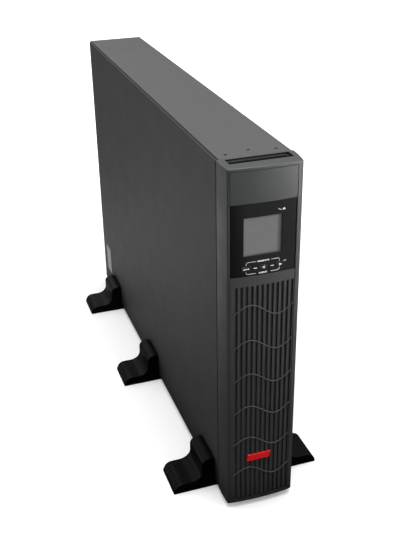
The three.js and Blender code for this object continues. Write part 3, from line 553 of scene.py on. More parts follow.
def chassis():
    """A folded sheet: roof, right wall and floor, with lips at the left that the cover lies over."""
    outer, inner = BEND_RADIUS, BEND_RADIUS - SHEET
    left, right = LIP_X, HALF_WIDTH
    corners = [
        (left + outer, TOP_Z - outer, 180), (right - outer, TOP_Z - outer, 90),
        (right - outer, BOTTOM_Z + outer, 0), (left + outer, BOTTOM_Z + outer, 270),
    ]
    profile = [(left, TOP_Z - LIP_HEIGHT)]
    for x, z, start in corners:
        profile += arc((x, z), outer, start, start - 90)
    profile += [(left, BOTTOM_Z + LIP_HEIGHT), (left + SHEET, BOTTOM_Z + LIP_HEIGHT)]
    for x, z, start in corners[::-1]:
        profile += arc((x, z), inner, start - 90, start)
    profile += [(left + SHEET, TOP_Z - LIP_HEIGHT)]
    shell = prism(profile, SEAT_Y, REAR_Y)
    holes = [
        prism(circle((x, SEAT_Y + back), EAR_HOLE_RADIUS, 20), BOTTOM_Z - 2, TOP_Z + 2, "z")
        for x, back in EAR_HOLES
    ]
    holes += rear_wall_holes()
    for z in VENT_CENTRES_Z:
        for i in range(VENT_COUNT):
            y = VENT_FIRST_Y + i * VENT_PITCH
            slot = rounded((y, y + VENT_WIDTH), around(z, VENT_HALF_HEIGHT), VENT_WIDTH / 2 - 0.01, 5)
            holes.append(prism(slot, *around(HALF_WIDTH, 3), "x"))
    done("chassis_shell", cut(shell, join(holes)), CABINET_PAINT, 0.2, "chassis")


def ear_nuts():
    """Blind press-in nuts under the rack-ear holes of the top wall and over those of the bottom wall."""
    nuts = []
    for inner_z, way in ((TOP_Z - SHEET, -1), (BOTTOM_Z + SHEET, 1)):
        for x, back in EAR_HOLES:
            spot = (x, SEAT_Y + back)
            nut = prism(circle(spot, 3.2, 24), *sorted((inner_z, inner_z + way * 6.5)), "z")
            bore = sorted((inner_z - way, inner_z + way * 5.5))
            nuts.append(cut(nut, prism(circle(spot, EAR_HOLE_RADIUS, 20), *bore, "z")))
    done("ear_nuts", join(nuts), BLACK_PLASTIC, 0.1, slot="plain_steel")


def cover_seals():
    """Dark sealing strips in the gaps between the cover's long edges and the chassis."""
    xs = (COVER_X[0] + HEM_THICKNESS + 0.05, LIP_X + 0.7)
    levels = ((TOP_Z - 5, TOP_Z - 0.4), (BOTTOM_Z + 0.4, BOTTOM_Z + 5))
    strips = [box(xs, (SEAT_Y + 1, REAR_Y - 1), zs) for zs in levels]
    done("cover_seals", join(strips), PAD_RUBBER, 0.1)


def cover():
    """The left wall: a sheet with folded hems at its long edges and two stiffening flanges inside."""
    x0 = COVER_X[0]
    half = x0 + SHEET / 2
    rear_hem = REAR_Y - 6
    ys = (COVER_Y[0], rear_hem)
    low, high = grown(COVER_Z, -COVER_DROP)
    sheet = box((x0, x0 + SHEET), ys, (low, high))
    for zs in ((low, low + HEM_HEIGHT), (high - HEM_HEIGHT, high)):
        weld(sheet, box((half, x0 + HEM_THICKNESS), ys, zs))
    for y in (SEAT_Y + 7, REAR_Y - 40):
        weld(sheet, box((half, x0 + 9), (y, y + SHEET), grown(COVER_Z, -LIP_HEIGHT - 4)))
    weld(sheet, box((x0 + 0.4, x0 + SHEET), (rear_hem - 1, REAR_Y), grown(COVER_Z, -1.2)))
    done("cover_sheet", sheet, CABINET_PAINT_SHADED, 0.3, "cover", segments=3)


chassis()
ear_nuts()
cover_seals()
cover()

# -------- bezel

FRONT_HALF = 42.9
CROWN = 3
CORNER = 1.9
BACK_LEFT, BACK_RIGHT = BEZEL_X
BEZEL_BACK_Y = SEAT_Y - GAP
WALL = 2.5
SIDE_BULGE = 0.5
LIP_RADIUS = 1.6
PANEL_X = (-40.1, 36.5)
PANEL_Z = (11.2, 442.2)
GROOVE = 0.5
GROOVE_DEPTH = 0.45
OPENING_X = grown(LCD_X, 0.35)
OPENING_Z = grown(LCD_Z, 0.35)
GRIP_X = (-35, 37.5)
GRIP_Y = (SEAT_Y - 18, SEAT_Y - 3)
GRIP_DEPTH = 17
GRIP_WALL = 2
GRIP_LEDGE = 4.5
TONGUE_X = 25
TONGUE_HALF = 4
SLOT_COUNT = 12
SLOT_PITCH = 6.04
SLOT_WIDTH = 2.6
SLOT_Z = (13.5, 309)
SLOT_FLARE = 1.15
GRILLE_HALF = SLOT_COUNT * SLOT_PITCH / 2
RIB_COUNT = 6
RIB_PITCH = 45.15
RIB_TOP_Z = 277.5
RIB_SWING = 8
RIB_WAVELENGTH = 66.4
RIB_RADIUS = 0.75


def quarter(steps=5):
    """Turns from 0 to a right angle."""
    return [math.pi / 2 * i / steps for i in range(steps + 1)]


def crown_y(x):
    return FRONT_Y + CROWN * (x / FRONT_HALF) ** 2


def rim_y(x):
    """The front surface: crowned across the panel, and falling away more steeply beyond its edges."""
    beyond = max(0.0, PANEL_X[0] - x, x - PANEL_X[1])
    return crown_y(x) + 0.035 * beyond**2


def bezel_plan(inset, back_y):
    """The bezel seen from above, with every side but the back moved in by inset."""
    half = FRONT_HALF - inset
    flat = half - CORNER
    grille = GRILLE_HALF - SLOT_PITCH / 2
    xs = [grille * (i / (SLOT_COUNT - 1) - 1) for i in range(2 * SLOT_COUNT - 1)]
    edge = [grille + (flat - grille) * t for t in (0.28, 0.52, 0.77, 1)]
    front = [(x, rim_y(x) + inset) for x in [-x for x in edge[::-1]] + xs + edge]
    left_x, right_x = BACK_LEFT + inset, BACK_RIGHT - inset
    left_y, right_y = front[0][1] + CORNER, front[-1][1] + CORNER

    def side(corner_x, corner_y, back_x, way):
        """A side wall from its front corner back, swelling outwards in the middle."""
        steps = [(i / 8, way * SIDE_BULGE * math.sin(math.pi * i / 8)) for i in range(1, 8)]
        return [
            (corner_x + (back_x - corner_x) * t + swell, corner_y + (back_y - corner_y) * t)
            for t, swell in steps
        ]

    plan = arc((-flat, left_y), CORNER, 185, 262) + front + arc((flat, right_y), CORNER, -82, -5)
    plan += side(half, right_y, right_x, 1) + [(right_x, back_y), (left_x, back_y)]
    return plan + side(-half, left_y, left_x, -1)[::-1]


def bezel_body():
    """The plan carried up z, with rounded lower and upper rims."""
    rim = [(LIP_RADIUS * (1 - math.sin(t)), LIP_RADIUS * (1 - math.cos(t))) for t in quarter()]
    rings = [(bezel_plan(inset, BEZEL_BACK_Y), BEZEL_Z[0] + rise) for inset, rise in rim]
    rings += [(bezel_plan(inset, BEZEL_BACK_Y), TOP_Z - rise) for inset, rise in rim[::-1]]
    return loft(rings, "z")


def groove_ring():
    """The fine gap between the front panel and the frame around it."""
    half = GROOVE / 2
    ring = cut(
        prism(rounded(grown(PANEL_X, half), grown(PANEL_Z, half), 1.2), -360, -300),
        prism(rounded(grown(PANEL_X, -half), grown(PANEL_Z, -half), 0.8), -362, -298),
    )
    low, high = grown(PANEL_X, -1.5)
    xs = [-44, low - 3.2] + [low + (high - low) * i / 30 for i in range(31)] + [high + 4.5, 44]
    bottom = [(x, rim_y(x) + GROOVE_DEPTH) for x in xs]
    keep = prism([(-44, FRONT_Y - 5), (44, FRONT_Y - 5)] + bottom[::-1], 0, 460, "z")
    return combine(ring, [keep], "INTERSECT")


def slot_tool(x):
    """One grille slot whose mouth flares out to the rounded bars beside it."""
    half = SLOT_WIDTH / 2
    wide = half + SLOT_FLARE
    mouth = [(half + SLOT_FLARE * (1 - math.cos(t)), SLOT_FLARE * (1 - math.sin(t))) for t in quarter()]
    outline = [(x - half, SEAT_Y - 20)] + [(x - u, crown_y(x - u) + depth) for u, depth in mouth]
    outline += [(x - wide, FRONT_Y - 3), (x + wide, FRONT_Y - 3)]
    outline += [(x + u, crown_y(x + u) + depth) for u, depth in mouth[::-1]] + [(x + half, SEAT_Y - 20)]
    return prism(outline, *SLOT_Z, "z")


def bezel():
    body = bezel_body()
    cut(body, prism(bezel_plan(WALL, SEAT_Y + 2), BOTTOM_Z + WALL, TOP_Z - WALL, "z"))
    pocket_z = (TOP_Z - GRIP_DEPTH - GRIP_WALL, TOP_Z - 1)
    weld(body, box(grown(GRIP_X, GRIP_WALL), grown(GRIP_Y, GRIP_WALL), pocket_z))
    pocket_y = (GRIP_Y[0], GRIP_Y[1] - GRIP_LEDGE)
    cut(body, prism(rounded(GRIP_X, GRIP_Y, 1.0), TOP_Z - 2.5, TOP_Z + 4, "z"))
    cut(body, prism(rounded(GRIP_X, pocket_y, 1.0), TOP_Z - GRIP_DEPTH, TOP_Z + 4, "z"))
    cut(body, box(OPENING_X, (FRONT_Y - 3, FRONT_Y + 12), OPENING_Z))
    cut(body, groove_ring())
    first = -(SLOT_COUNT - 1) / 2
    cut(body, join([slot_tool(SLOT_PITCH * (first + i)) for i in range(SLOT_COUNT)]))
    for side in (-1, 1):
        for z, root_y in ((10.3, SEAT_Y - 12), (438, SEAT_Y - 2)):
            outline = rounded(around(side * TONGUE_X, TONGUE_HALF), (z, z + 2), 0.6, 3)
            weld(body, prism(outline, root_y, SEAT_Y + 8))
    done("bezel_shell", body, BEZEL_PLASTIC, 0.18, "bezel", "bezel")


def grip_shade_pad():
    """A dark rubber pad on the ledge inside the grip pocket, put there as painted shade on the ledge."""
    ys = (GRIP_Y[1] - 4.4, GRIP_Y[1] - 0.2)
    pad_outline = rounded((GRIP_X[0] + 0.4, GRIP_X[1] - 4), ys, 0.8)
    done("grip_shade_pad", prism(pad_outline, TOP_Z - 3, TOP_Z - 1.7, "z"), PAD_RUBBER, 0.2, body="bezel")


def wave_ribs():
    """Thin ribs across the grille, each following one sine wave, a little proud of the crown."""
    ribs = []
    for k in range(RIB_COUNT):
        z = RIB_TOP_Z - k * RIB_PITCH
        xs = [GRILLE_HALF * (i / 30 - 1) for i in range(61)]
        wave = [RIB_SWING * math.sin(2 * math.pi * x / RIB_WAVELENGTH) for x in xs]
        ribs.append(tube([(x, crown_y(x) - 0.05, z - w) for x, w in zip(xs, wave)], RIB_RADIUS, 10))
    # the ribs take the lighter plastic, a painted highlight
    done("grille_ribs", join(ribs), BEZEL_PLASTIC_LIT, 0, body="bezel")


def dust_filter():
    """A thin dark sheet of open foam behind the grille."""
    xs = [(GRILLE_HALF + 0.6) * (i / 12 - 1) for i in range(25)]
    outline = [(x, crown_y(x) + 2.55) for x in xs] + [(x, crown_y(x) + 4.4) for x in xs[::-1]]
    done("dust_filter", prism(outline, SLOT_Z[0] - 1, SLOT_Z[1] + 3, "z"), FILTER_FOAM, 0, body="bezel")


def badge():
    """A plain slanted red bar."""
    (x0, x1), (y0, _), (z0, z1) = span("badge")
    x0, z0, slant = x0 - 1.5, z0 + 1, 1.7
    outline = [(x0, z0), (x1 - slant, z0), (x1, z1), (x0 + slant, z1)]
    done("badge_bar", prism(outline, y0, crown_y(x0) + 0.6), BADGE_RED, 0.45, "badge", "bezel", 4)


bezel()
grip_shade_pad()
wave_ribs()
dust_filter()
badge()

# -------- display module

SCREEN_X = (-25.3, 19.2)
SCREEN_Z = (345.8, 390.0)
KEYS = ("select", "back", "next")
KEY_Z = 330.5
KEY_HALF_X = 5.7
KEY_HALF_Z = 3
RECESS = 0.6
KEY_RISE = 0.3
KEY_FLANGE_Y = FRONT_Y + CROWN + 2.3
DISPLAY_GREY = display_glass("display_grey", SCREEN_X, SCREEN_Z)


def lcd_y(x):
    return crown_y(x) + RECESS


def key_x(word):
    return middle(f"key_{word}")[0]


def lcd_housing():
    """A crowned plate with side walls behind it, open for the screen and the keys."""
    x0, x1 = LCD_X
    back_y = LCD_Y[1]
    xs = [x0 + (x1 - x0) * i / 30 for i in range(31)]
    body = prism([(x, lcd_y(x)) for x in xs] + [(x1, back_y), (x0, back_y)], *LCD_Z, "z")
    combine(body, [prism(rounded(LCD_X, LCD_Z, 1.5), FRONT_Y - 3, back_y + 3)], "INTERSECT")
    inner_y = FRONT_Y + CROWN + 2
    cut(body, box(grown(LCD_X, -2), (inner_y, back_y + 2), grown(LCD_Z, -2)))
    outlines = [rounded(SCREEN_X, SCREEN_Z, 0.5)]
    outlines += [pad(key_x(word), KEY_Z, KEY_HALF_X + GAP, KEY_HALF_Z + GAP, 1.5) for word in KEYS]
    cut(body, join([prism(outline, FRONT_Y - 3, inner_y + 2) for outline in outlines]))
    done("lcd_shell", body, GLOSS_BLACK, 0.18, "lcd_housing", "lcd_module")


def lcd_window():
    _, (y0, y1), _ = span("lcd_window")
    face = prism(rounded(grown(SCREEN_X, -0.15), grown(SCREEN_Z, -0.15), 0.4), y0, y1 - 2)
    weld(face, box(grown(SCREEN_X, 3), (y1 - 4, y1), grown(SCREEN_Z, 3)))
    done("lcd_cell", face, DISPLAY_GREY, 0.15, "lcd_window", "lcd_module")


def key(word):
    """A rounded cap that follows the crown, with its flange and stem behind."""
    node = f"key_{word}"
    x = key_x(word)
    cap = prism(pad(x, KEY_Z, KEY_HALF_X, KEY_HALF_Z, 1.3), lcd_y(x) - KEY_RISE, KEY_FLANGE_Y + 0.5)
    weld(cap, box(around(x, 7), (KEY_FLANGE_Y, KEY_FLANGE_Y + 1), around(KEY_Z, 4.3)))
    weld(cap, rod(x, KEY_Z, 1.4, KEY_FLANGE_Y, span(node)[1][1], 16))
    done(node + "_cap", cap, KEY_BLACK, 0.35, node, node, 3)


lcd_housing()
lcd_window()
for word in KEYS:
    key(word)

# -------- printed marks on the display module

PRINT_DEPTH = 0.05
LEGEND_LEFT = -21.9
LEGEND_RIGHT = 16.9
LEGEND_TOP = 338.3
LEGEND_BOTTOM = 324.1
LEGEND_CORNER = 2.6
LINE = 0.55


def printed(outline, surface=lcd_y):
    """A thin printed shape that follows the crowned surface."""
    bm = bmesh.new()
    bm.faces.new([bm.verts.new((u * MM, 0, v * MM)) for u, v in outline])
    bmesh.ops.triangulate(bm, faces=bm.faces)
    front = list(bm.verts)
    made = bmesh.ops.extrude_face_region(bm, geom=list(bm.faces))
    back = [e for e in made["geom"] if isinstance(e, bmesh.types.BMVert)]
    for verts, lift in ((front, 0.1), (back, -PRINT_DEPTH)):
        for v in verts:
            v.co.y = (surface(v.co.x / MM) + lift) * MM
    bmesh.ops.recalc_face_normals(bm, faces=bm.faces)
    return from_bmesh(bm)


def marks(name, outlines, body="lcd_module", surface=lcd_y):
    done(name, join([printed(outline, surface) for outline in outlines]), LEGEND_WHITE, body=body)


def bar(x0, x1, z, height):
    return [(x0, z - height / 2), (x1, z - height / 2), (x1, z + height / 2), (x0, z + height / 2)]


def bars(first_x, pitch, width, z, height, count):
    """A row of bars, where a word would stand."""
    return [bar(first_x + pitch * i, first_x + pitch * i + width, z, height) for i in range(count)]


def stroke(points, width):
    """An open line of points as a band of the given width."""
    left, right = [], []
    for i, (u, v) in enumerate(points):
        a = points[max(i - 1, 0)]
        b = points[min(i + 1, len(points) - 1)]
        du, dv = b[0] - a[0], b[1] - a[1]
        size = math.hypot(du, dv)
        nu, nv = -dv / size * width / 2, du / size * width / 2
        left.append((u + nu, v + nv))
        right.append((u - nu, v - nv))
    return left + right[::-1]


def legends():
    """A loop that links the three keys, with plain bars and dashes where words would stand."""
    shapes = []
    for edge, side, inner_x in ((LEGEND_LEFT, -1, -10.4), (LEGEND_RIGHT, 1, 6.8)):
        for level, way in ((LEGEND_TOP, 1), (LEGEND_BOTTOM, -1)):
            centre = (edge - side * LEGEND_CORNER, level - way * LEGEND_CORNER)
            ends = (0, 90 * way) if side > 0 else (180, 180 - 90 * way)
            bend = arc(centre, LEGEND_CORNER, *ends, 8)
            shapes.append(stroke([(edge, KEY_Z + way * 4.2)] + bend + [(inner_x, level)], LINE))
    shapes += bars(-8.8, 2.8, 2.2, LEGEND_TOP, 1.7, 5) + bars(-7.2, 2.5, 2.0, LEGEND_BOTTOM, 1.7, 4)
    shapes += [bar(-13.4, -9.2, KEY_Z, 1.0), bar(6.4, 10.6, KEY_Z, 0.9), bar(21.6, 25.0, KEY_Z + 3.4, 0.6)]
    marks("panel_legend", shapes)


def status_icons():
    """A wave and a triangle printed above the screen."""
    x, z = 13.9, 395.3
    wave = [(x + 3.8 * i / 12, z + 0.8 * math.sin(2 * math.pi * i / 12)) for i in range(13)]
    marks("status_icons", [stroke(wave, 0.5), [(19.0, z - 1.2), (22.8, z - 1.2), (20.9, z + 1.7)]])


def key_marks():
    """An arrow on each of the two stepping keys, and a row of short bars on the select key."""
    for word, kind, way in (("back", "arrow", -1), ("next", "arrow", 1), ("select", "bars", 0)):
        x = key_x(word)
        y = lcd_y(x) - KEY_RISE
        shapes = [[(x + way * 2.0, KEY_Z), (x - way * 1.6, KEY_Z + 1.9), (x - way * 1.6, KEY_Z - 1.9)]]
        if kind == "bars":
            shapes = bars(x - 3.4, 2.5, 1.8, KEY_Z, 1.3, 3)
        marks(f"key_{word}_{kind}", shapes, f"key_{word}", lambda _, y=y: y)


legends()
status_icons()
key_marks()

# -------- stand feet and side label

FOOT_BASE = 8
TAB_THICKNESS = 16.5
TAB_HEIGHT = 45
TOE_HEIGHT = 13
TOE_RADIUS = 12.6
SCALLOP_PITCH = 6.6
SCALLOP_DEPTH = 0.8


def bezier(p0, p1, p2, p3, steps=10):
    points = []
    for i in range(steps + 1):
        t = i / steps
        a, b, c, d = (1 - t) ** 3, 3 * (1 - t) ** 2 * t, 3 * (1 - t) * t * t, t**3
        points.append(tuple(a * p0[k] + b * p1[k] + c * p2[k] + d * p3[k] for k in (0, 1)))
    return points


def foot_outline(tip, scallop):
    """Half a foot seen from the front; scallop says how far its nose and toe are drawn in."""
    tab_in = HALF_WIDTH + GAP
    tab_out = tab_in + TAB_THICKNESS
    nose = tip - TOE_RADIUS
    nose_z = TOE_HEIGHT - TOE_RADIUS
    outline = [(GAP / 2, 0.0), (tip - scallop * 0.5, 0.0)]
    for i, (u, v) in enumerate(arc((nose, nose_z), TOE_RADIUS, 2, 90, 10)):
        depth = scallop * math.sin(math.pi * min(1.0, (i + 2) / 13))
        outline.append((u - depth * (u - nose) / TOE_RADIUS, v - depth * (v - nose_z) / TOE_RADIUS))
    toe = tab_out + 15
    outline += [(nose - 6, TOE_HEIGHT - scallop * 0.4), (toe + 3, TOE_HEIGHT - scallop * 0.12)]
    low, high = TOE_HEIGHT, TAB_HEIGHT
    outline += bezier((toe, low), (tab_out + 7, low + 0.5), (tab_out, low + 5), (tab_out, low + 14))
    outline += bezier((tab_out, high - 10), (tab_out, high - 4), (tab_out - 5, high), (tab_in + 3, high))
    outline += [(tab_in + 0.8, TAB_HEIGHT - 0.6), (tab_in, TAB_HEIGHT - 3), (tab_in, FOOT_BASE - GAP)]
    return outline + [(GAP / 2, FOOT_BASE - GAP)]


def foot(node):
    """Slices along y, with scallops across the nose and toe except at the two ends."""
    (x0, x1), (y0, y1), _ = span(node)
    side = 1 if x1 > 0 else -1
    tip = max(abs(x0), abs(x1))
    steps = 56
    rings = []
    for i in range(steps + 1):
        y = y0 + (y1 - y0) * i / steps
        from_end = min(y - y0, y1 - y)
        swell = abs(math.sin(math.pi * (y - (y0 + y1) / 2) / SCALLOP_PITCH))
        depth = SCALLOP_DEPTH * (1 - swell) if from_end > SCALLOP_PITCH * 0.4 else 0.0
        rounding = 0.8 * max(0.0, 1 - from_end / 0.9)
        outline = foot_outline(tip, depth)
        rings.append(([(side * (u - (rounding if u > tip - 3 else 0)), v) for u, v in outline], y))
    done(node + "_shell", loft(rings), FOOT_PLASTIC, 0, node)


def side_label():
    xs, ys, zs = span("side_label")
    done("label_sheet", prism(rounded(ys, zs, 1.5), *xs, "x"), LABEL_PAPER, 0.06, "side_label")


for place in ("front", "middle", "rear"):
    for side in ("left", "right"):
        foot(f"foot_{place}_{side}")
side_label()

# -------- rear panel

BODY_HALF = {
    "inlet": (15.5, 12), "serial_port": (9, 5), "usb_port": (6, 5.5), "epo_connector": (6, 5),
    "network_ports": (15.5, 7), "battery_socket": (24, 8),
    "outlet_1": (14, 10.5), "outlet_2": (14, 10.5), "outlet_3": (14, 10.5), "outlet_4": (14, 10.5),
}
BREAKER_RADIUS = 7
GROUND_RADIUS = 2.1
CARD_SLOT = ((-33, 33), (224, 259))
FAN_HALF = 40
FAN_BORE = 38
FAN_SCREW = 35.75
FAN_FLANGE = 3.6
FAN_POST_RADIUS = 3.9
FAN_HOLE_RADIUS = 2.1
FAN_ARM_TURNS = (22.5, 112.5, 202.5, 292.5)
BLADE_COUNT = 7
BLADE_REACH = (15.6, 36.6)
GUARD_WIRE = 0.8
GUARD_RINGS = (8, 17, 26, 35)
FAN_CENTRES = [(x, z) for x, _, z in (middle("fan_frame_1"), middle("fan_frame_2"))]
FAN_CORNERS = [(i * FAN_SCREW, k * FAN_SCREW) for i in (-1, 1) for k in (-1, 1)]


def rear_panel():
    """A sheet with flanges at top and bottom, open for the fans and for every fitting."""
    xs, (y0, y1), (z0, z1) = span("rear_panel")
    outer, inner = BEND_RADIUS, BEND_RADIUS - SHEET
    low, high = (y1 - outer, z0 + outer), (y1 - outer, z1 - outer)
    profile = [(y0, z0)] + arc(low, outer, -90, 0) + arc(high, outer, 0, 90) + [(y0, z1), (y0, z1 - SHEET)]
    profile += arc(high, inner, 90, 0) + arc(low, inner, 0, -90) + [(y0, z0 + SHEET)]
    through = (REAR_Y - 4, REAR_Y + 2)
    holes = rear_wall_holes()
    for x, z in FAN_CENTRES:
        holes.append(rod(x, z, FAN_BORE, *through, 72))
        holes += [rod(x + u, z + v, 1.6, *through) for u, v in FAN_CORNERS]
    for node, (half_x, half_z) in BODY_HALF.items():
        x, _, z = middle(node)
        holes.append(plug(x, z, half_x + GAP, half_z + GAP, 1.0, *through))
    for node, radius in (("breaker_body", BREAKER_RADIUS), ("ground_screw", GROUND_RADIUS)):
        x, _, z = middle(node)
        holes.append(rod(x, z, radius + GAP, *through))
    holes.append(prism(rounded(*CARD_SLOT, 1.0), *through))
    done("rear_panel_sheet", cut(prism(profile, *xs, "x"), join(holes)), CABINET_PAINT, 0.2, "rear_panel")


def pan_head(radius=2.7, height=1.7):
    """A domed head with a cross recess, seated at y 0 on the origin's axis and facing the rear."""
    turns = [math.radians(t) for t in range(0, 85, 12)]
    dome = [(radius * math.cos(t), height * (0.35 + 0.65 * math.sin(t))) for t in turns]
    head = lathe([(radius, -0.3)] + dome, segments=32)
    arms = [(radius * 0.55, 0.32), (0.32, radius * 0.55)]
    return cut(head, *[plug(0, 0, *half, 0.1, height * 0.4, height + 1) for half in arms])


def thumb_screw(radius=3.2, height=5.0):
    """A knurled head with a slot, seated at y 0 and facing the rear."""
    points = 56
    turns = [(radius * (1 - 0.05 * (i % 2)), 2 * math.pi * i / points) for i in range(points)]
    outline = [(r * math.cos(t), r * math.sin(t)) for r, t in turns]
    small = [(u * 0.86, v * 0.86) for u, v in outline]
    head = loft([(small, 0.0), (small, 0.8), (outline, 0.9), (outline, height - 0.5), (small, height)])
    return cut(head, plug(0, 0, radius + 1, 0.4, 0.1, height - 1.2, height + 1))


def rear_screws():
    """Guard screws, the two thumb screws of the card cover and the hex posts of the serial port."""
    places = [(x + u, REAR_Y + 2.1, z + v) for x, z in FAN_CENTRES for u, v in FAN_CORNERS]
    done("guard_screws", copies(pan_head(), places), PLAIN_STEEL, 0)
    places = [(x, REAR_Y + 1.5, middle("slot_cover")[2]) for x in (-35.3, 35.3)]
    done("card_cover_screws", copies(thumb_screw(), places), PLAIN_STEEL, 0.08)
    posts = [cut(rod(x, 0, 2.5, 1.2, 5.5, 6), rod(x, 0, 1.1, 2.5, 7, 16)) for x in (-12.5, 12.5)]
    fitted("serial_port", "serial_port_posts", join(posts), PLAIN_STEEL, 0.15)


def fitted(at, name, obj, look, edge, node=None, **more):
    """Finishes a piece made around the origin, and moves it to a node's middle, y 0 to the rear face."""
    x, _, z = middle(at)
    obj.data.transform(Matrix.Translation(Vector((x, REAR_Y, z)) * MM))
    done(name, obj, look, edge, node, **more)


def shell(node, obj, look, edge, **more):
    """The fitted piece that stands for a CAD node."""
    fitted(node, node + "_shell", obj, look, edge, node, **more)


# -------- fans, made around the y axis


def fan_frame():
    """Two square flanges joined by a round duct and four screw posts, with arms for the bearing boss."""
    y0, y1 = span("fan_frame_1")[1]
    body = plug(0, 0, FAN_HALF, FAN_HALF, 4, y0, y1)
    waist = plug(0, 0, FAN_HALF + 1, FAN_HALF + 1, 1, y0 + FAN_FLANGE, y1 - FAN_FLANGE)
    posts = [rod(u, v, FAN_POST_RADIUS, y0, y1) for u, v in FAN_CORNERS]
    cut(waist, rod(0, 0, FAN_HALF - 0.6, y0, y1, 72), join(posts))
    mouth = [(FAN_BORE + 1.3, -1), (FAN_BORE + 1.0, 0.6), (FAN_BORE, 2.6)]
    duct = lathe([(r, y0 + d) for r, d in mouth] + [(r, y1 - d) for r, d in mouth[::-1]], segments=72)
    cut(body, waist, duct, join([rod(u, v, FAN_HOLE_RADIUS, y0 - 1, y1 + 1) for u, v in FAN_CORNERS]))
    low, high = y1 - 3.5, y1 - 0.5
    arms = []
    for turn in FAN_ARM_TURNS:
        outline = arc((0, 0), 14, turn - 7, turn + 7, 2) + arc((0, 0), FAN_BORE + 0.6, turn + 9, turn + 5, 2)
        arms.append(prism(outline, low, high))
    plate = [(17, low), (17, high - 0.5), (16.5, high), (14.5, high), (14.3, high - 0.4)]
    boss = [(4.6, low - 8), (5, low - 7.5), (5, low + 1)]
    return weld(body, lathe(plate, segments=48), lathe(boss, segments=24), *arms)


def fan_blade(y, turn):
    """One cambered blade, swept and twisted from hub to tip."""
    inner, outer = BLADE_REACH
    stations, across = 7, 8
    section = [(k / across - 0.5, 1) for k in range(across + 1)]
    section += [(k / across - 0.5, -1) for k in range(across - 1, 0, -1)]
    rings = []
    for i in range(stations + 1):
        t = i / stations
        radius = inner + (outer - inner) * t
        chord = 17 + 9 * t
        pitch = math.radians(48 - 16 * t)
        ring = []
        for u, face in section:
            bow = 1 - 4 * u * u
            lift = 1.8 * bow + face * 0.75 * math.sqrt(bow) ** 0.7
            sideways = chord * u * math.cos(pitch) - lift * math.sin(pitch)
            axial = chord * u * math.sin(pitch) + lift * math.cos(pitch)
            angle = turn + 0.42 * t * t + sideways / radius
            ring.append((radius * math.cos(angle), y + axial * 0.86, radius * math.sin(angle)))
        rings.append(ring)
    return skin(rings)


def fan_rotor():
    back = span("fan_rotor_1")[1][1]
    front = back - 17
    profile = [(13.5, front), (15.2, front + 0.5), (16.2, front + 1.5), (16.5, front + 3)]
    hub = lathe(profile + [(16.5, back), (5.6, back), (5.6, back - 8.8)], segments=56)
    turns = [2 * math.pi * i / BLADE_COUNT for i in range(BLADE_COUNT)]
    return weld(hub, join([fan_blade((front + back) / 2, turn) for turn in turns]))


def ring_wire(x, z, radius, y, steps=64):
    return tube([(u, y, v) for u, v in circle((x, z), radius, steps)], GUARD_WIRE, 10, True)


def fan_guard():
    """Round wire: four rings, crossed by two diagonal wires that end in eyes around the screws."""
    y = REAR_Y + GAP + GUARD_WIRE
    parts = [ring_wire(0, 0, radius, y + 1.2) for radius in GUARD_RINGS]
    reach = FAN_SCREW * math.sqrt(2) - 3.1
    stations = [(-reach, 0.0), (5 - reach, 0.0), (8 - reach, 0.1), (0, 0.1)]
    stations += [(-s, lift) for s, lift in stations[2::-1]]
    for turn in (45, 135):
        du, dv = math.cos(math.radians(turn)), math.sin(math.radians(turn))
        parts.append(tube([(du * s, y + lift, dv * s) for s, lift in stations], GUARD_WIRE, 10))
    return join(parts + [ring_wire(u, v, 3.2, y, 28) for u, v in FAN_CORNERS])


def fans():
    """Both fans are alike, so each piece is made once and copied to both places."""
    kinds = (
        ("fan_frame", fan_frame(), BLACK_PLASTIC, 0.25),
        ("fan_rotor", fan_rotor(), BLACK_PLASTIC, 0.0),
        ("fan_guard", fan_guard(), PLAIN_STEEL, 0.0),
    )
    for kind, made, look, edge in kinds:
        for number, (x, z) in enumerate(FAN_CENTRES, 1):
            piece = copies(made, [(x, 0, z)], number == 2)
            body = f"fan_rotor_{number}" if kind == "fan_rotor" else "root"
            done(f"{kind}_{number}_shell", piece, look, edge, f"{kind}_{number}", body)
    disc = lathe([(13.8, REAR_Y - 2.4), (13.8, REAR_Y - 2.2)])
    done("fan_labels", copies(disc, [(x, 0, z) for x, z in FAN_CENTRES]), LABEL_PAPER, 0)


# -------- fittings of the rear panel
# What fitted() and shell() take is made around the origin, with the panel's rear face at y 0.


def socket_outline(half_x, half_z, chamfer):
    """A rectangle whose two upper corners are cut off."""
    cut_x, cut_z = half_x - chamfer, half_z - chamfer
    return [
        (-half_x, -half_z), (half_x, -half_z), (half_x, cut_z),
        (cut_x, half_z), (-cut_x, half_z), (-half_x, cut_z),
    ]


def socket_body(half, depth, flange, radius, steps):
    """A block through the panel with a flange outside, whose steps are (inset, y)."""
    body = plug(0, 0, *half, 1.0, -depth, 1)
    return weld(body, loft([(pad(0, 0, flange[0] - i, flange[1] - i, radius), y) for i, y in steps]))


def outlet(node):
    """A shaped moat around an island with three contact slots."""
    body = socket_body(BODY_HALF[node], 24, (16, 12.5), 2.0, ((0, GAP), (0, 1.4), (0.6, 2.0)))
    moat = cut(prism(socket_outline(12.2, 8.9, 4.2), -15, 4), prism(socket_outline(10.2, 6.9, 3.4), -16, 0.6))
    slots = [plug(u, v, 0.9, 2.4, 0.3, -12, 4) for u, v in ((-7, -1.6), (7, -1.6), (0, 2.4))]
    shell(node, cut(body, moat, join(slots)), BLACK_PLASTIC, 0.2)


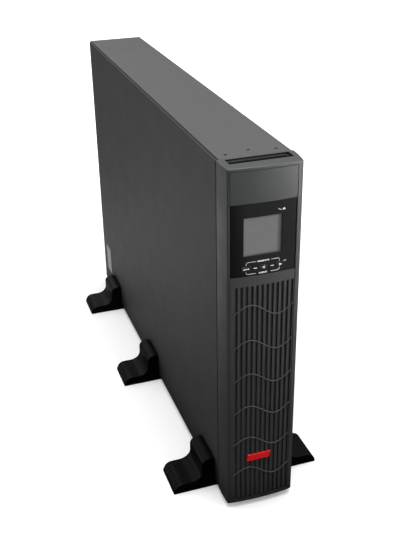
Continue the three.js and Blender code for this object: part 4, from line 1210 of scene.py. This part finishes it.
def inlet():
    """A deep shaped socket with three blades. Its piece is named tool."""
    body = socket_body(BODY_HALF["inlet"], 22, (19, 15.5), 2.5, ((0, GAP), (0, 2.0), (1.0, 3.0)))
    cut(body, prism(socket_outline(13.3, 9.8, 4.6), -18, 5))
    fitted("inlet", "tool", body, BLACK_PLASTIC, 0.25, "inlet")
    rings = (((1.0, 3.5), -19), ((1.0, 3.5), -4.5), ((0.5, 2.8), -3))
    spots = ((-8, -2), (8, -2), (0, 4))
    blades = [loft([(pad(u, v, *half, 0.4), y) for half, y in rings]) for u, v in spots]
    fitted("inlet", "inlet_blades", join(blades), PLAIN_STEEL, 0.1)


def breaker():
    """A threaded body with a collar and a hexagonal nut, and a push button that stands in it."""
    x, _, z = middle("breaker_body")
    seat, radius, collar = REAR_Y + GAP, BREAKER_RADIUS, BREAKER_RADIUS + 2.5
    profile = [(radius, REAR_Y - 20), (radius, seat), (collar, seat), (collar, seat + 1.2)]
    profile += [(collar - 0.8, seat + 2.0), (6.3, seat + 2.3), (5.0, seat + 1.9), (5.0, REAR_Y - 12)]
    nut = cut(rod(x, z, 10.6, seat, seat + 1.4, 6), rod(x, z, radius, seat - 1, seat + 3))
    body = weld(lathe(profile, (x, z), segments=48), nut)
    done("breaker_body_shell", body, BLACK_PLASTIC, 0.15, "breaker_body")
    node = "breaker_button"
    inner, face = span(node)[1]
    profile = [(4.6, inner), (4.6, face - 0.9), (4.3, face - 0.3), (3.6, face), (2.6, face - 0.35)]
    done(node + "_cap", lathe(profile, (x, z)), BUTTON_WHITE, 0, node, node, angle=50)


def serial_port():
    """A tapering shell on a flange, around an insert with nine contact holes."""
    def tapered(grow):
        wide, narrow, high = 8.4 + grow, 7.2 + grow, 4.3 + grow
        return [(-narrow, -high), (narrow, -high), (wide, high), (-wide, high)]

    body = weld(plug(0, 0, 15.4, 6.2, 1.5, GAP, 1.3), prism(tapered(0.0), -12, 5.5))
    cut(body, prism(tapered(-0.6), -4, 8))
    shell("serial_port", body, PLAIN_STEEL, 0.3, segments=3)
    spots = [(2.75 * i - 5.5, 1.5) for i in range(5)] + [(2.75 * i - 4.1, -1.5) for i in range(4)]
    contacts = join([rod(u, v, 0.6, 0, 6, 12) for u, v in spots])
    insert = cut(prism(tapered(-0.8), -3.9, 4.4), contacts)
    fitted("serial_port", "serial_port_insert", insert, BLACK_PLASTIC, 0.1)


def usb_port():
    half_x, half_z = BODY_HALF["usb_port"]
    body = prism(socket_outline(half_x, half_z, 2.6), -12, 1)
    cut(body, prism(socket_outline(half_x - 0.7, half_z - 0.7, 2.2), -10, 3))
    shell("usb_port", body, PLAIN_STEEL, 0.15)
    fitted("usb_port", "usb_port_tongue", plug(0, 0, 2.8, 1.6, 0.3, -10.5, -0.8), BLACK_PLASTIC, 0.1)


def network_ports():
    """Two jacks with a catch notch each, eight spring contacts, and a small lamp at either side."""
    node = "network_ports"
    body = plug(0, 0, *BODY_HALF[node], 0.6, -16, 1.2)
    wires, lamps = [], []
    for jack in (-7.6, 7.6):
        cut(body, plug(jack, 0.4, 5.6, 3.6, 0.3, -13, 3), plug(jack, -4.0, 3.0, 1.6, 0.2, -13, 3))
        for i in range(8):
            path = ((-12.5, 1.0), (-9, 1.2), (-2.5, 3.4), (-1.6, 4.3))
            wires.append(tube([(jack - 3.5 + i, y, z) for y, z in path], 0.2, 6))
        lamps += [plug(jack + u, -5.2, 1.0, 0.8, 0.2, 0.8, 1.4) for u in (-4.7, 4.7)]
    shell(node, body, BLACK_PLASTIC, 0.15)
    fitted(node, "network_contacts", join(wires), GROUND_BRASS, 0)
    fitted(node, "network_lamps", join(lamps), BUTTON_WHITE, 0.1)


def epo_connector():
    """A plug-in terminal block: two wire entries at the rear and two clamping screws on top."""
    node = "epo_connector"
    rear = span(node)[1][1] - REAR_Y
    body = plug(0, 0, *BODY_HALF[node], 0.4, -10, rear)
    entries = [plug(u, -1.0, 1.8, 2.2, 0.3, rear - 8, rear + 1) for u in (-2.6, 2.6)]
    wells = [prism(circle((u, rear - 2.6), 1.6, 20), 3, 8, "z") for u in (-2.6, 2.6)]
    cut(body, join(entries), join(wells))
    shell(node, body, TERMINAL_GREEN, 0.15)
    screws = []
    for u in (-2.6, 2.6):
        head = prism(circle((u, rear - 2.6), 1.45, 20), 2.8, 4.3, "z")
        screws.append(cut(head, box(around(u, 2), around(rear - 2.6, 0.25), (3.7, 5))))
    fitted(node, node + "_screws", join(screws), PLAIN_STEEL, 0.05)


def slot_cover():
    """A plate over the card slot with a folded finger grip."""
    xs, (y0, y1), zs = span("slot_cover")
    plate = prism(rounded(xs, zs, 1.5), y0, y0 + SHEET)
    z = (zs[0] + zs[1]) / 2
    grip = [(y0 + 0.4, z + 3), (y0 + 0.4, z)] + arc((y1 - 1.5, z + 0.2), 1.5, -90, 0)
    grip += [(y1, z + 2.4), (y1 - 1.2, z + 2.4)] + arc((y1 - 2.0, z + 2.0), 0.8, 0, -90)
    grip += [(y0 + SHEET, z + 1.2), (y0 + SHEET, z + 3)]
    done("slot_cover_sheet", weld(plate, prism(grip, -12, 12, "x")), CABINET_PAINT, 0.2, "slot_cover")


def battery_socket():
    """Two shrouded poles side by side, with a blade in each."""
    node = "battery_socket"
    body = plug(0, 0, *BODY_HALF[node], 1.2, -28, 2.5)
    poles = [plug(u, 0, 8, 5.5, 1.2, -14, 5) for u in (-12, 12)]
    cut(body, join(poles), plug(0, 0, 1.2, 9, 0.3, 1.2, 5))
    shell(node, body, SOCKET_GREY, 0.3)
    side = [(-5, -14.5), (-5, -2), (-4, -1.2), (4, -1.2), (5, -2), (5, -14.5)]
    blades = [prism([(u + x, y) for x, y in side], -1, 1, "z") for u in (-12, 12)]
    fitted(node, node + "_contacts", join(blades), GROUND_BRASS, 0.3)


def ground_screw():
    """A slotted hexagonal head on a washer with teeth."""
    node = "ground_screw"
    y0, y1 = (y - REAR_Y for y in span(node)[1])
    teeth = [(5.4 - 0.5 * (i % 2), 2 * math.pi * i / 32) for i in range(32)]
    washer = prism([(r * math.cos(t), r * math.sin(t)) for r, t in teeth], GAP, 1.2)
    screw = weld(rod(0, 0, GROUND_RADIUS - 0.1, y0, y1 - 1), rod(0, 0, 4.2, 1.1, y1, 6), washer)
    cut(screw, plug(0, 0, 5, 0.45, 0.1, y1 - 0.9, y1 + 1))
    shell(node, screw, GROUND_BRASS, 0.12)


def rear_legends():
    """Plain pale dashes printed beside the sockets and controls, where words would stand."""
    dashes = []
    for node, dx, dz, half in (
        ("serial_port", 0, 9.0, 5), ("usb_port", 0, 9.0, 3), ("epo_connector", 0, 8.5, 3.4),
        ("network_ports", 24, 0, 4), ("breaker_body", 0, 14.0, 5), ("inlet", 0, 18.5, 6),
        ("battery_socket", 0, 12.5, 9), ("ground_screw", 0, 8.0, 2),
    ):
        x, _, z = middle(node)
        dashes += [(x + dx, z + dz, half), (x + dx, z + dz - 1.9, half * 0.6)]
    dashes += [(0, middle(node)[2] + 16.5, 8) for node in ("outlet_1", "outlet_3")]
    prints = [prism(bar(x - half, x + half, z, 1.1), REAR_Y - 0.1, REAR_Y + 0.06) for x, z, half in dashes]
    done("rear_legends", join(prints), LEGEND_WHITE)


rear_panel()
rear_screws()
fans()
for number in (1, 2, 3, 4):
    outlet(f"outlet_{number}")
inlet()
breaker()
serial_port()
usb_port()
network_ports()
epo_connector()
slot_cover()
battery_socket()
ground_screw()
rear_legends()

# -------- inside the cabinet


def battery(node):
    """A case with a stepped lid, and a vent strip and six caps raised on its left face."""
    (x0, x1), ys, zs = span(node)
    _, y, z = middle(node)
    face = x0 + 4
    steps = [(1.8, face), (1.1, face + 0.7), (1.1, face + 6), (0, face + 6.1), (0, face + 8)]
    steps += [(0.5, face + 8.3), (0.5, x1 - 0.8), (1.2, x1)]
    body = loft([(rounded(grown(ys, -inset), grown(zs, -inset), 2.5), x) for inset, x in steps], "x")
    weld(body, prism(pad(y, z, 34, 9, 2), face - 0.8, face + 1, "x"))
    caps = [prism(circle((y - 27 + 10.8 * i, z), 3.6, 20), face - 1.3, face, "x") for i in range(6)]
    done(node + "_case", weld(body, join(caps)), BATTERY_CASE, 0.3, node)


def battery_tabs():
    """Two push-on blades on each block."""
    blades = []
    for number in range(1, 7):
        (x0, _), (y0, _), zs = span(f"battery_{number}")
        for z in grown(zs, -13.5):
            blades.append(box((x0 + 3.5, x0 + 4.5), around(y0 + 11, 4), around(z, 4)))
            blades.append(box((x0, x0 + 4), around(y0 + 11, 0.4), around(z, 3.1)))
    done("battery_tabs", join(blades), PLAIN_STEEL, 0.1)


def door_screw(node):
    """A captive screw: a knurled knob in front of the door and a shank behind it."""
    x, _, z = middle(node)
    y0, y1 = span(node)[1]
    head = thumb_screw(5.0, 8.0)
    head.data.transform(Matrix.Translation(Vector((x, y0 + 8, z)) * MM) @ Matrix.Rotation(math.pi, 4, "Z"))
    knob = fix_normals(weld(head, rod(x, z, 2, y0 + 7, y1 - 0.6, 20)))
    done(node + "_knob", knob, PLAIN_STEEL, 0.12, node)


def capacitor(node):
    """A sleeved can with a crimp near its base and a scored top."""
    x0, x1 = span(node)[0]
    _, y, z = middle(node)
    profile = [(14.6, x0 + 1), (14.7, x0 + 0.2), (15.8, x0), (16.7, x0 + 0.5), (17, x0 + 1.6)]
    profile += [(17, x1 - 6), (16.6, x1 - 5.4), (16.1, x1 - 5), (16.6, x1 - 4.6), (17, x1 - 4), (17, x1)]
    done(node + "_can", lathe(profile, (y, z), "x", 56), CAPACITOR_SLEEVE, 0, node, angle=50)
    top = lathe([(14.5, x0 + 1.2), (14.5, x0 + 0.6)], (y, z), "x", 48)
    scores = [box((x0 - 1, x0 + 0.85), around(y, a), around(z, b)) for a, b in ((10, 0.4), (0.4, 10))]
    done(node + "_top", cut(top, *scores), ALUMINIUM, 0.05)


def transformer():
    """A laminated core with two windows, and a winding around its middle leg."""
    (x0, x1), ys, zs = span("transformer")
    _, y, z = middle("transformer")
    core = box((x0, x1), around(y, 14), zs)
    cut(core, *[box((x0 + 8, x1 - 8), around(y, 20), around(z + v, 5.6)) for v in (-13, 13)])
    coil = prism(rounded((x0 + 8.3, x1 - 8.3), around(z, 18.3), 3), *ys)
    spots = ((0, 7.7), (-24, 5.3), (24, 5.3))
    legs = [box((x0 + 1, x1 - 1), around(y, 14.3), around(z + v, half)) for v, half in spots]
    done("transformer_laminations", core, CORE_STEEL, 0.3, "transformer")
    done("transformer_winding", cut(coil, *legs), WINDING, 1.2, segments=4)


def inductor():
    """A ring core wound with round wire."""
    x0, x1 = span("inductor")[0]
    _, y, z = middle("inductor")
    section = [(11.2, x0 + 2), (24.8, x0 + 2), (24.8, x1 - 2), (11.2, x1 - 2)]
    core = loft([(circle((y, z), radius, 56), along) for radius, along in section], "x", True)
    done("inductor_core", core, CORE_STEEL, 0.8, "inductor", segments=3)
    loop = rounded((x0 + 1.1, x1 - 1.1), (10.2, 25.8), 2.5, 4)
    turns = []
    for i in range(26):
        angle = 2 * math.pi * i / 26
        path = [(x, y + r * math.cos(angle), z + r * math.sin(angle)) for x, r in loop]
        turns.append(tube(path, 1.0, 8, True))
    done("inductor_winding", join(turns), WINDING, 0)


def board_parts():
    """Cans, chips and relays in rows on the two boards, each standing away from the board face."""
    face = span("power_board")[0][0]
    cans, chips, relays = [], [], []
    for ys, zs, rows, columns in (((70, 136), (40, 420), 9, 3), ((-138, 26), (338, 426), 4, 7)):
        for i in range(rows * columns):
            y = ys[0] + (ys[1] - ys[0]) * (i % columns + 0.5) / columns
            z = zs[0] + (zs[1] - zs[0]) * (i // columns + 0.5) / rows
            kind = (i * 5 + i // columns) % 7
            if kind < 2:
                cans.append(lathe([(5, face), (5, face - 13), (4.4, face - 14)], (y, z), "x", 24))
            elif kind < 5:
                chips.append(prism(pad(y, z, 4, 6, 0.5, 3), face - 3, face, "x"))
                legs = [around(z - 4.5 + 3 * k, 0.5) for k in range(4)]
                chips += [box((face - 1.2, face), around(y, 5.2), leg) for leg in legs]
            else:
                relays.append(prism(pad(y, z, 6, 9, 1, 3), face - 11, face, "x"))
    done("board_cans", join(cans), CAPACITOR_SLEEVE, 0.15)
    done("board_chips", join(chips), BLACK_PLASTIC, 0.15)
    done("board_relays", join(relays), BUTTON_WHITE, 0.15)


for number in range(1, 7):
    battery(f"battery_{number}")
battery_tabs()
for number in (1, 2):
    door_screw(f"door_screw_{number}")
for number in (1, 2):
    capacitor(f"capacitor_{number}")
transformer()
inductor()
board_parts()

# -------- CAD nodes that stay as they are

KEPT = {
    "front_plate": (CABINET_PAINT, 0.2), "battery_door": (CABINET_PAINT, 0.2),
    "battery_tray": (PLAIN_STEEL, 0.2), "lcd_board": (CIRCUIT_BOARD, 0.1),
    "power_board": (CIRCUIT_BOARD, 0.1), "charger_board": (CIRCUIT_BOARD, 0.1),
    "ribbon_cable": (RIBBON_GREY, 0.1), "heatsink_upper": (ALUMINIUM, 0.4),
    "heatsink_lower": (ALUMINIUM, 0.4), "battery_harness": (RED_CABLE, 0.0),
}


def kept(node, look, edge):
    """Gives a CAD node its material and small rounded edges; its own mesh is untouched."""
    obj = frame["nodes"][node]
    obj.data.materials.clear()
    obj.data.materials.append(look)
    obj.modifiers.new("corners", "WELD").merge_threshold = 0.01 * MM
    if edge:
        bevel = obj.modifiers.new("edges", "BEVEL")
        bevel.width = edge * MM
        bevel.segments = 2
        bevel.limit_method = "ANGLE"
    else:
        smooth = obj.modifiers.new("round", "SUBSURF")
        smooth.levels = smooth.render_levels = 1


for node, (look, edge) in KEPT.items():
    kept(node, look, edge)

# -------- floor, lights and camera


def floor():
    """A plain pale floor. It looks bright to the camera and gives only a little light back to the object."""
    corners = [(-4000, -4000, 0), (4000, -4000, 0), (4000, 6000, 0), (-4000, 6000, 0)]
    obj = new_mesh(corners, [(0, 1, 2, 3)])
    obj.name = "floor"
    n = new_material("floor")
    seen = n.add("LightPath", "Is Camera Ray")
    mottle = n.ramp(n.noise(3.0, 2.0), 0.3, 0.7, 0.97, 1.0)
    bright = n.mix(mottle, (0.9, 0.9, 0.9, 1.0), (0.93, 0.93, 0.93, 1.0))
    rear = n.times(n.ramp(n.axis("Y"), -0.1, 0.42, 0.0, 0.5), n.ramp(n.axis("Y"), 0.45, 0.95, 1.0, 0.45))
    right = n.times(n.ramp(n.axis("X"), 0.06, 0.2), n.ramp(n.axis("Y"), -0.5, -0.7, 0.0, 0.22))
    dim = n.mix(n.maths("ADD", n.maths("ADD", rear, right), 0.015), BLACK, WHITE)
    n.set(Base_Color=n.mix(seen, dim, bright), Roughness=0.9, Specular_IOR_Level=0.0)
    away = n.add("VectorMath", "Value", {0: n.coords}, operation="LENGTH")
    n.set(Emission_Color=WHITE, Emission_Strength=n.times(n.ramp(away, 0.5, 1.6, 0.2, 0.9), seen))
    n.bump(n.noise(300.0), 0.02)
    obj.data.materials.append(n.owner)


def world():
    """White to the camera; to the object, dark below and brighter towards the zenith."""
    SCENE.world = bpy.data.worlds.new("studio")
    n = Nodes(SCENE.world, "Background", "Generated")
    rise = n.ramp(n.axis("Z"), -0.1, 1.0, 0.12, 0.9)
    n.set(Color=n.mix(n.add("LightPath", "Is Camera Ray"), rise, WHITE))


def area_light(name, location, target, size, power, spread=180):
    data = bpy.data.lights.new(name, "AREA")
    data.energy = power
    data.size = size
    data.spread = math.radians(spread)
    obj = bpy.data.objects.new(name, data)
    SCENE.collection.objects.link(obj)
    obj.location = location
    obj.rotation_euler = (Vector(target) - Vector(location)).to_track_quat("-Z", "Y").to_euler()
    obj.visible_camera = False


def lights():
    centre = (0, 0, 0.25)
    area_light("overhead", (0.1, -0.2, 2.0), centre, 1.6, 31)
    area_light("front_right", (0.85, -1.35, 0.9), (0, -0.3, 0.56), 0.7, 0.65, 50)
    area_light("low_right", (0.95, -1.2, 0.3), (0, -0.33, 0.53), 0.5, 0.8, 38)
    area_light("left", (-2.2, -0.2, 1.3), centre, 1.4, 5)
    area_light("low_left", (-1.3, 0.6, 0.3), (-0.05, -0.31, 0.17), 0.5, 0.16, 26)
    area_light("back", (-0.6, 2.4, 1.4), centre, 1.6, 8)


CAMERA_TURN = -18.32
CAMERA_RISE = 27.15
CAMERA_ROLL = -0.96
CAMERA_LENS = 56.04
CAMERA_PLACE = (-0.3245, -1.0976, 0.7459)


def camera():
    """Turned 18 degrees to the left of straight ahead, raised 27 degrees, and rolled by one."""
    turn, rise, roll = (math.radians(angle) for angle in (CAMERA_TURN, CAMERA_RISE, CAMERA_ROLL))
    back = Vector((math.sin(turn) * math.cos(rise), -math.cos(turn) * math.cos(rise), math.sin(rise)))
    right = (-back).cross(Vector((0, 0, 1))).normalized()
    up = right.cross(-back)
    rolled_right = right * math.cos(roll) + up * math.sin(roll)
    rolled_up = up * math.cos(roll) - right * math.sin(roll)
    data = bpy.data.cameras.new("camera")
    data.sensor_width = 36
    data.lens = CAMERA_LENS
    data.clip_end = 50
    obj = bpy.data.objects.new("camera", data)
    SCENE.collection.objects.link(obj)
    matrix = Matrix((rolled_right, rolled_up, back)).transposed().to_4x4()
    matrix.translation = Vector(CAMERA_PLACE)
    obj.matrix_world = matrix
    SCENE.camera = obj


floor()
world()
lights()
camera()
SCENE.view_settings.view_transform = "Standard"
